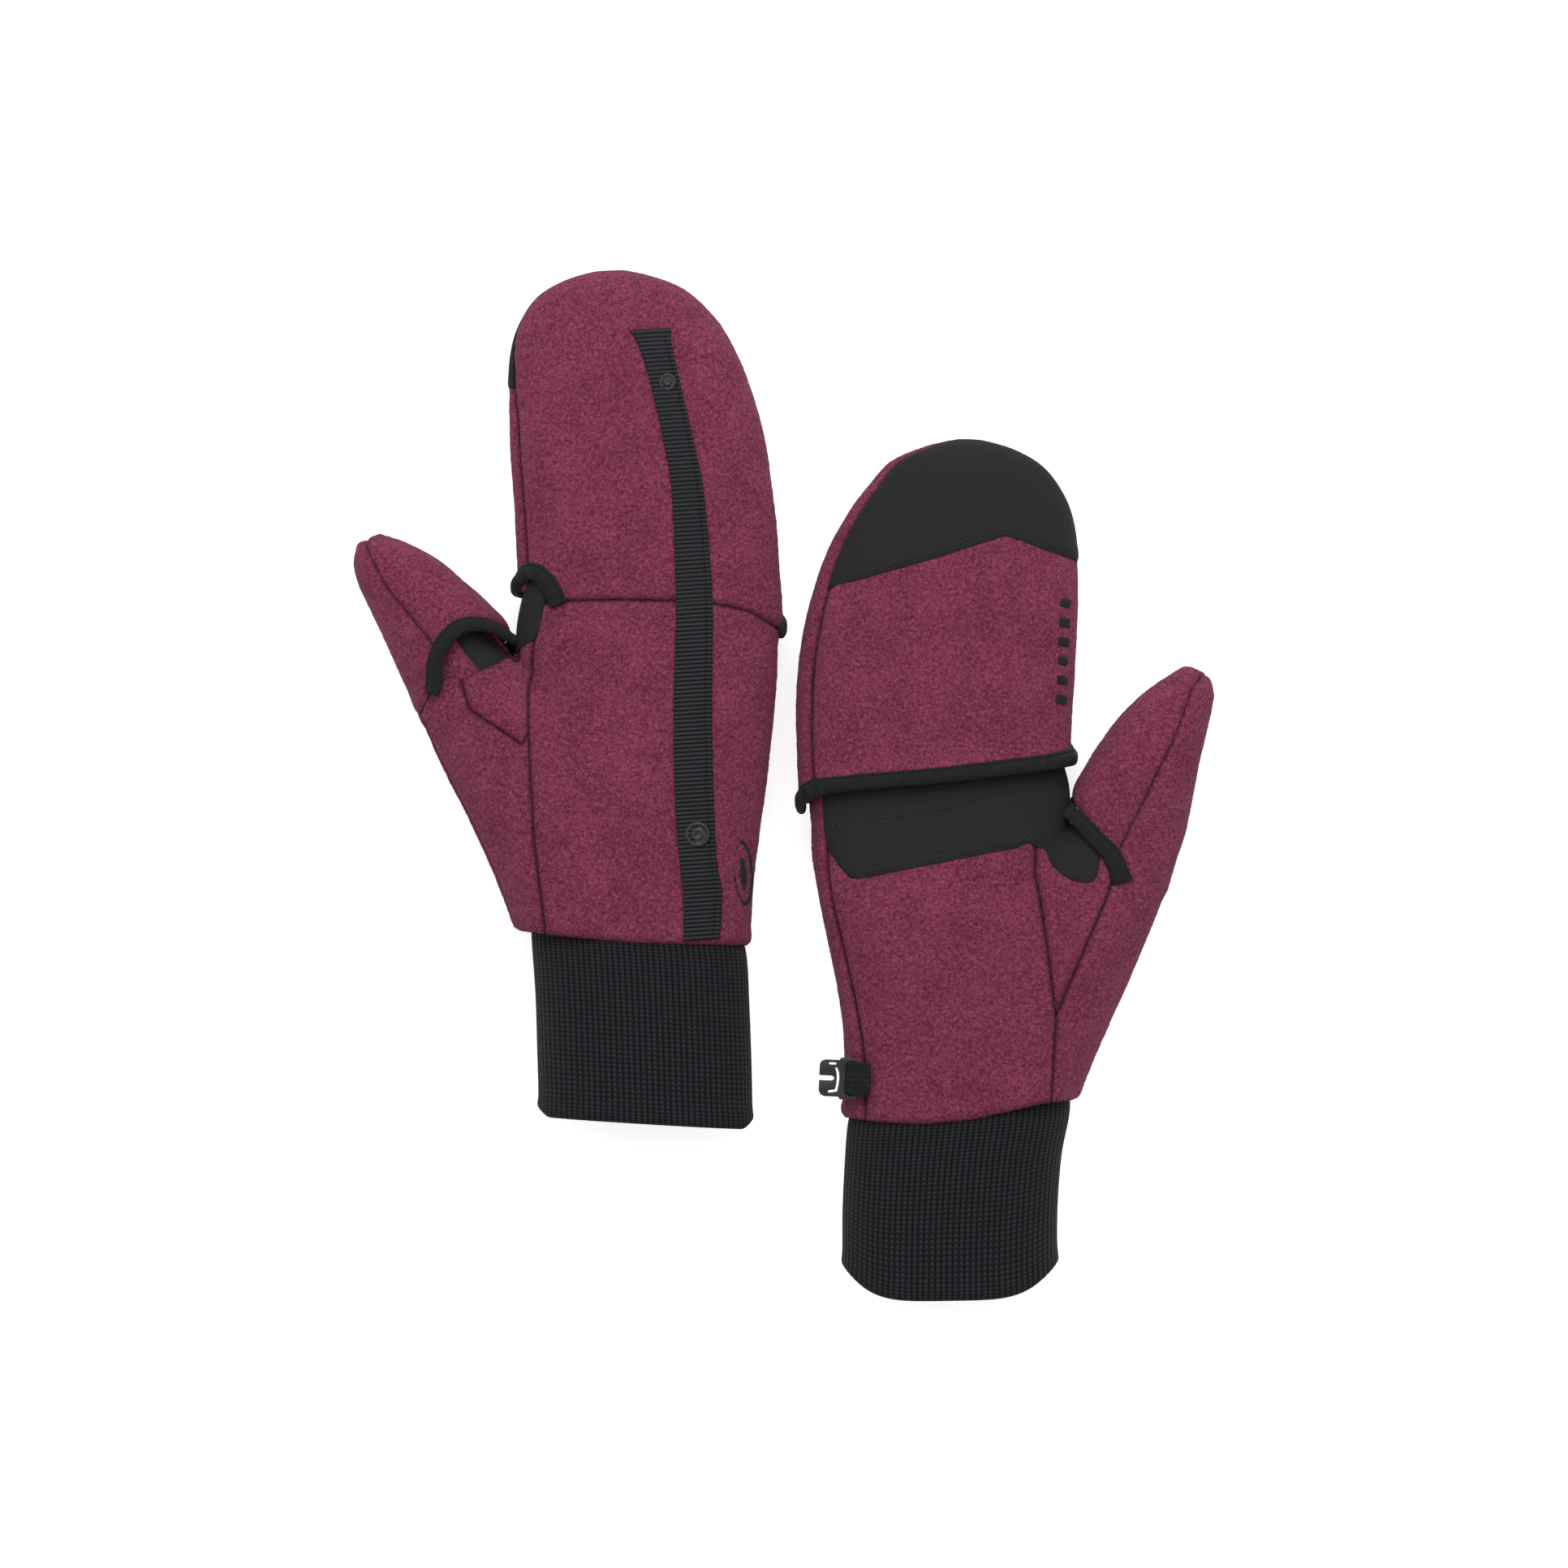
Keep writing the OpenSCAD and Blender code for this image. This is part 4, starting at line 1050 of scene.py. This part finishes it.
def clipMesh():
    # ladder frame with two bars, and a hook plate with one open and one curved slot
    bx, by, bz = clip["bar"]
    bm = bmesh.new()

    def slab(outlines, thick):
        edges = []
        for outline in outlines:
            verts = [bm.verts.new((bx + x, by + y, bz - thick / 2)) for x, y in outline]
            edges += [bm.edges.new(pair) for pair in zip(verts, verts[1:] + verts[:1])]
        filled = bmesh.ops.triangle_fill(bm, use_beauty=True, edges=edges)["geom"]
        faces = [g for g in filled if isinstance(g, bmesh.types.BMFace)]
        lifted = bmesh.ops.extrude_face_region(bm, geom=faces)["geom"]
        top = [g for g in lifted if isinstance(g, bmesh.types.BMVert)]
        bmesh.ops.translate(bm, vec=(0, 0, thick), verts=top)

    w = clip["wide"] / 2
    slab([[(-2, w), (-2, w - 1.2), (2.1, w - 1.2), (2.1, 1.2 - w), (-2, 1.2 - w), (-2, -w), (3.4, -w),
           (4, -6.1), (8.6, -6.1), (9.9, -5.5), (10.5, -4.2), (10.5, -0.8), (6.4, -0.8), (5.7, -0.5),
           (5.5, 0), (5.7, 0.5), (6.4, 0.8), (10.5, 0.8), (10.5, 4.4), (9.9, 5.6), (8.6, 6.1), (4, 6.1),
           (3.4, w)],
          [(5, 5.2), (5, 4.5), (7.4, 4.5), (7.4, 5.2)],
          [(4.7, 3.6), (4, 2), (3.8, 0), (4, -2), (4.4, -4.4), (7.4, -4.9), (7.3, -4.1), (5.1, -3.7),
           (4.7, -2), (4.6, 0), (4.8, 2), (5.3, 3.4)]], clip["thick"])
    bmesh.ops.recalc_face_normals(bm, faces=bm.faces)
    sharp = [edge for edge in bm.edges if edge.calc_face_angle(0) > 1.2]
    bmesh.ops.bevel(bm, geom=sharp, offset=0.22, offset_type="OFFSET", segments=2, profile=0.5,
                    affect="EDGES", material=-1, clamp_overlap=True)
    bmesh.ops.create_cone(bm, cap_ends=True, cap_tris=False, segments=28,
                          radius1=clip["rod"], radius2=clip["rod"], depth=clip["wide"] - 1.4,
                          matrix=Matrix.Translation(clip["bar"]) @ Matrix.Rotation(math.pi / 2, 4, "X"))
    return toMesh(bm, "clip")


piece("up", "clip_webbing", webbingMesh(), "binding", "up_hand", ["clip_webbing"])
piece("up", "clip", clipMesh(), "snap_plastic", "clip", ["clip"])
print("clip")

# pale floor
bm = bmesh.new()
bmesh.ops.create_grid(bm, x_segments=4, y_segments=4, size=3.0)
floorMesh = toMesh(bm, "floor")
floorMat, floorTree, floorShader = shader("paleFloor", (0.6, 0.6, 0.6), 0.9)
floorShader.inputs["Emission Color"].default_value = (1, 1, 1, 1)
floorShader.inputs["Emission Strength"].default_value = 0.7
floorMesh.materials.append(floorMat)
floor = bpy.data.objects.new("floor", floorMesh)
scene.collection.objects.link(floor)
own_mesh(floor)
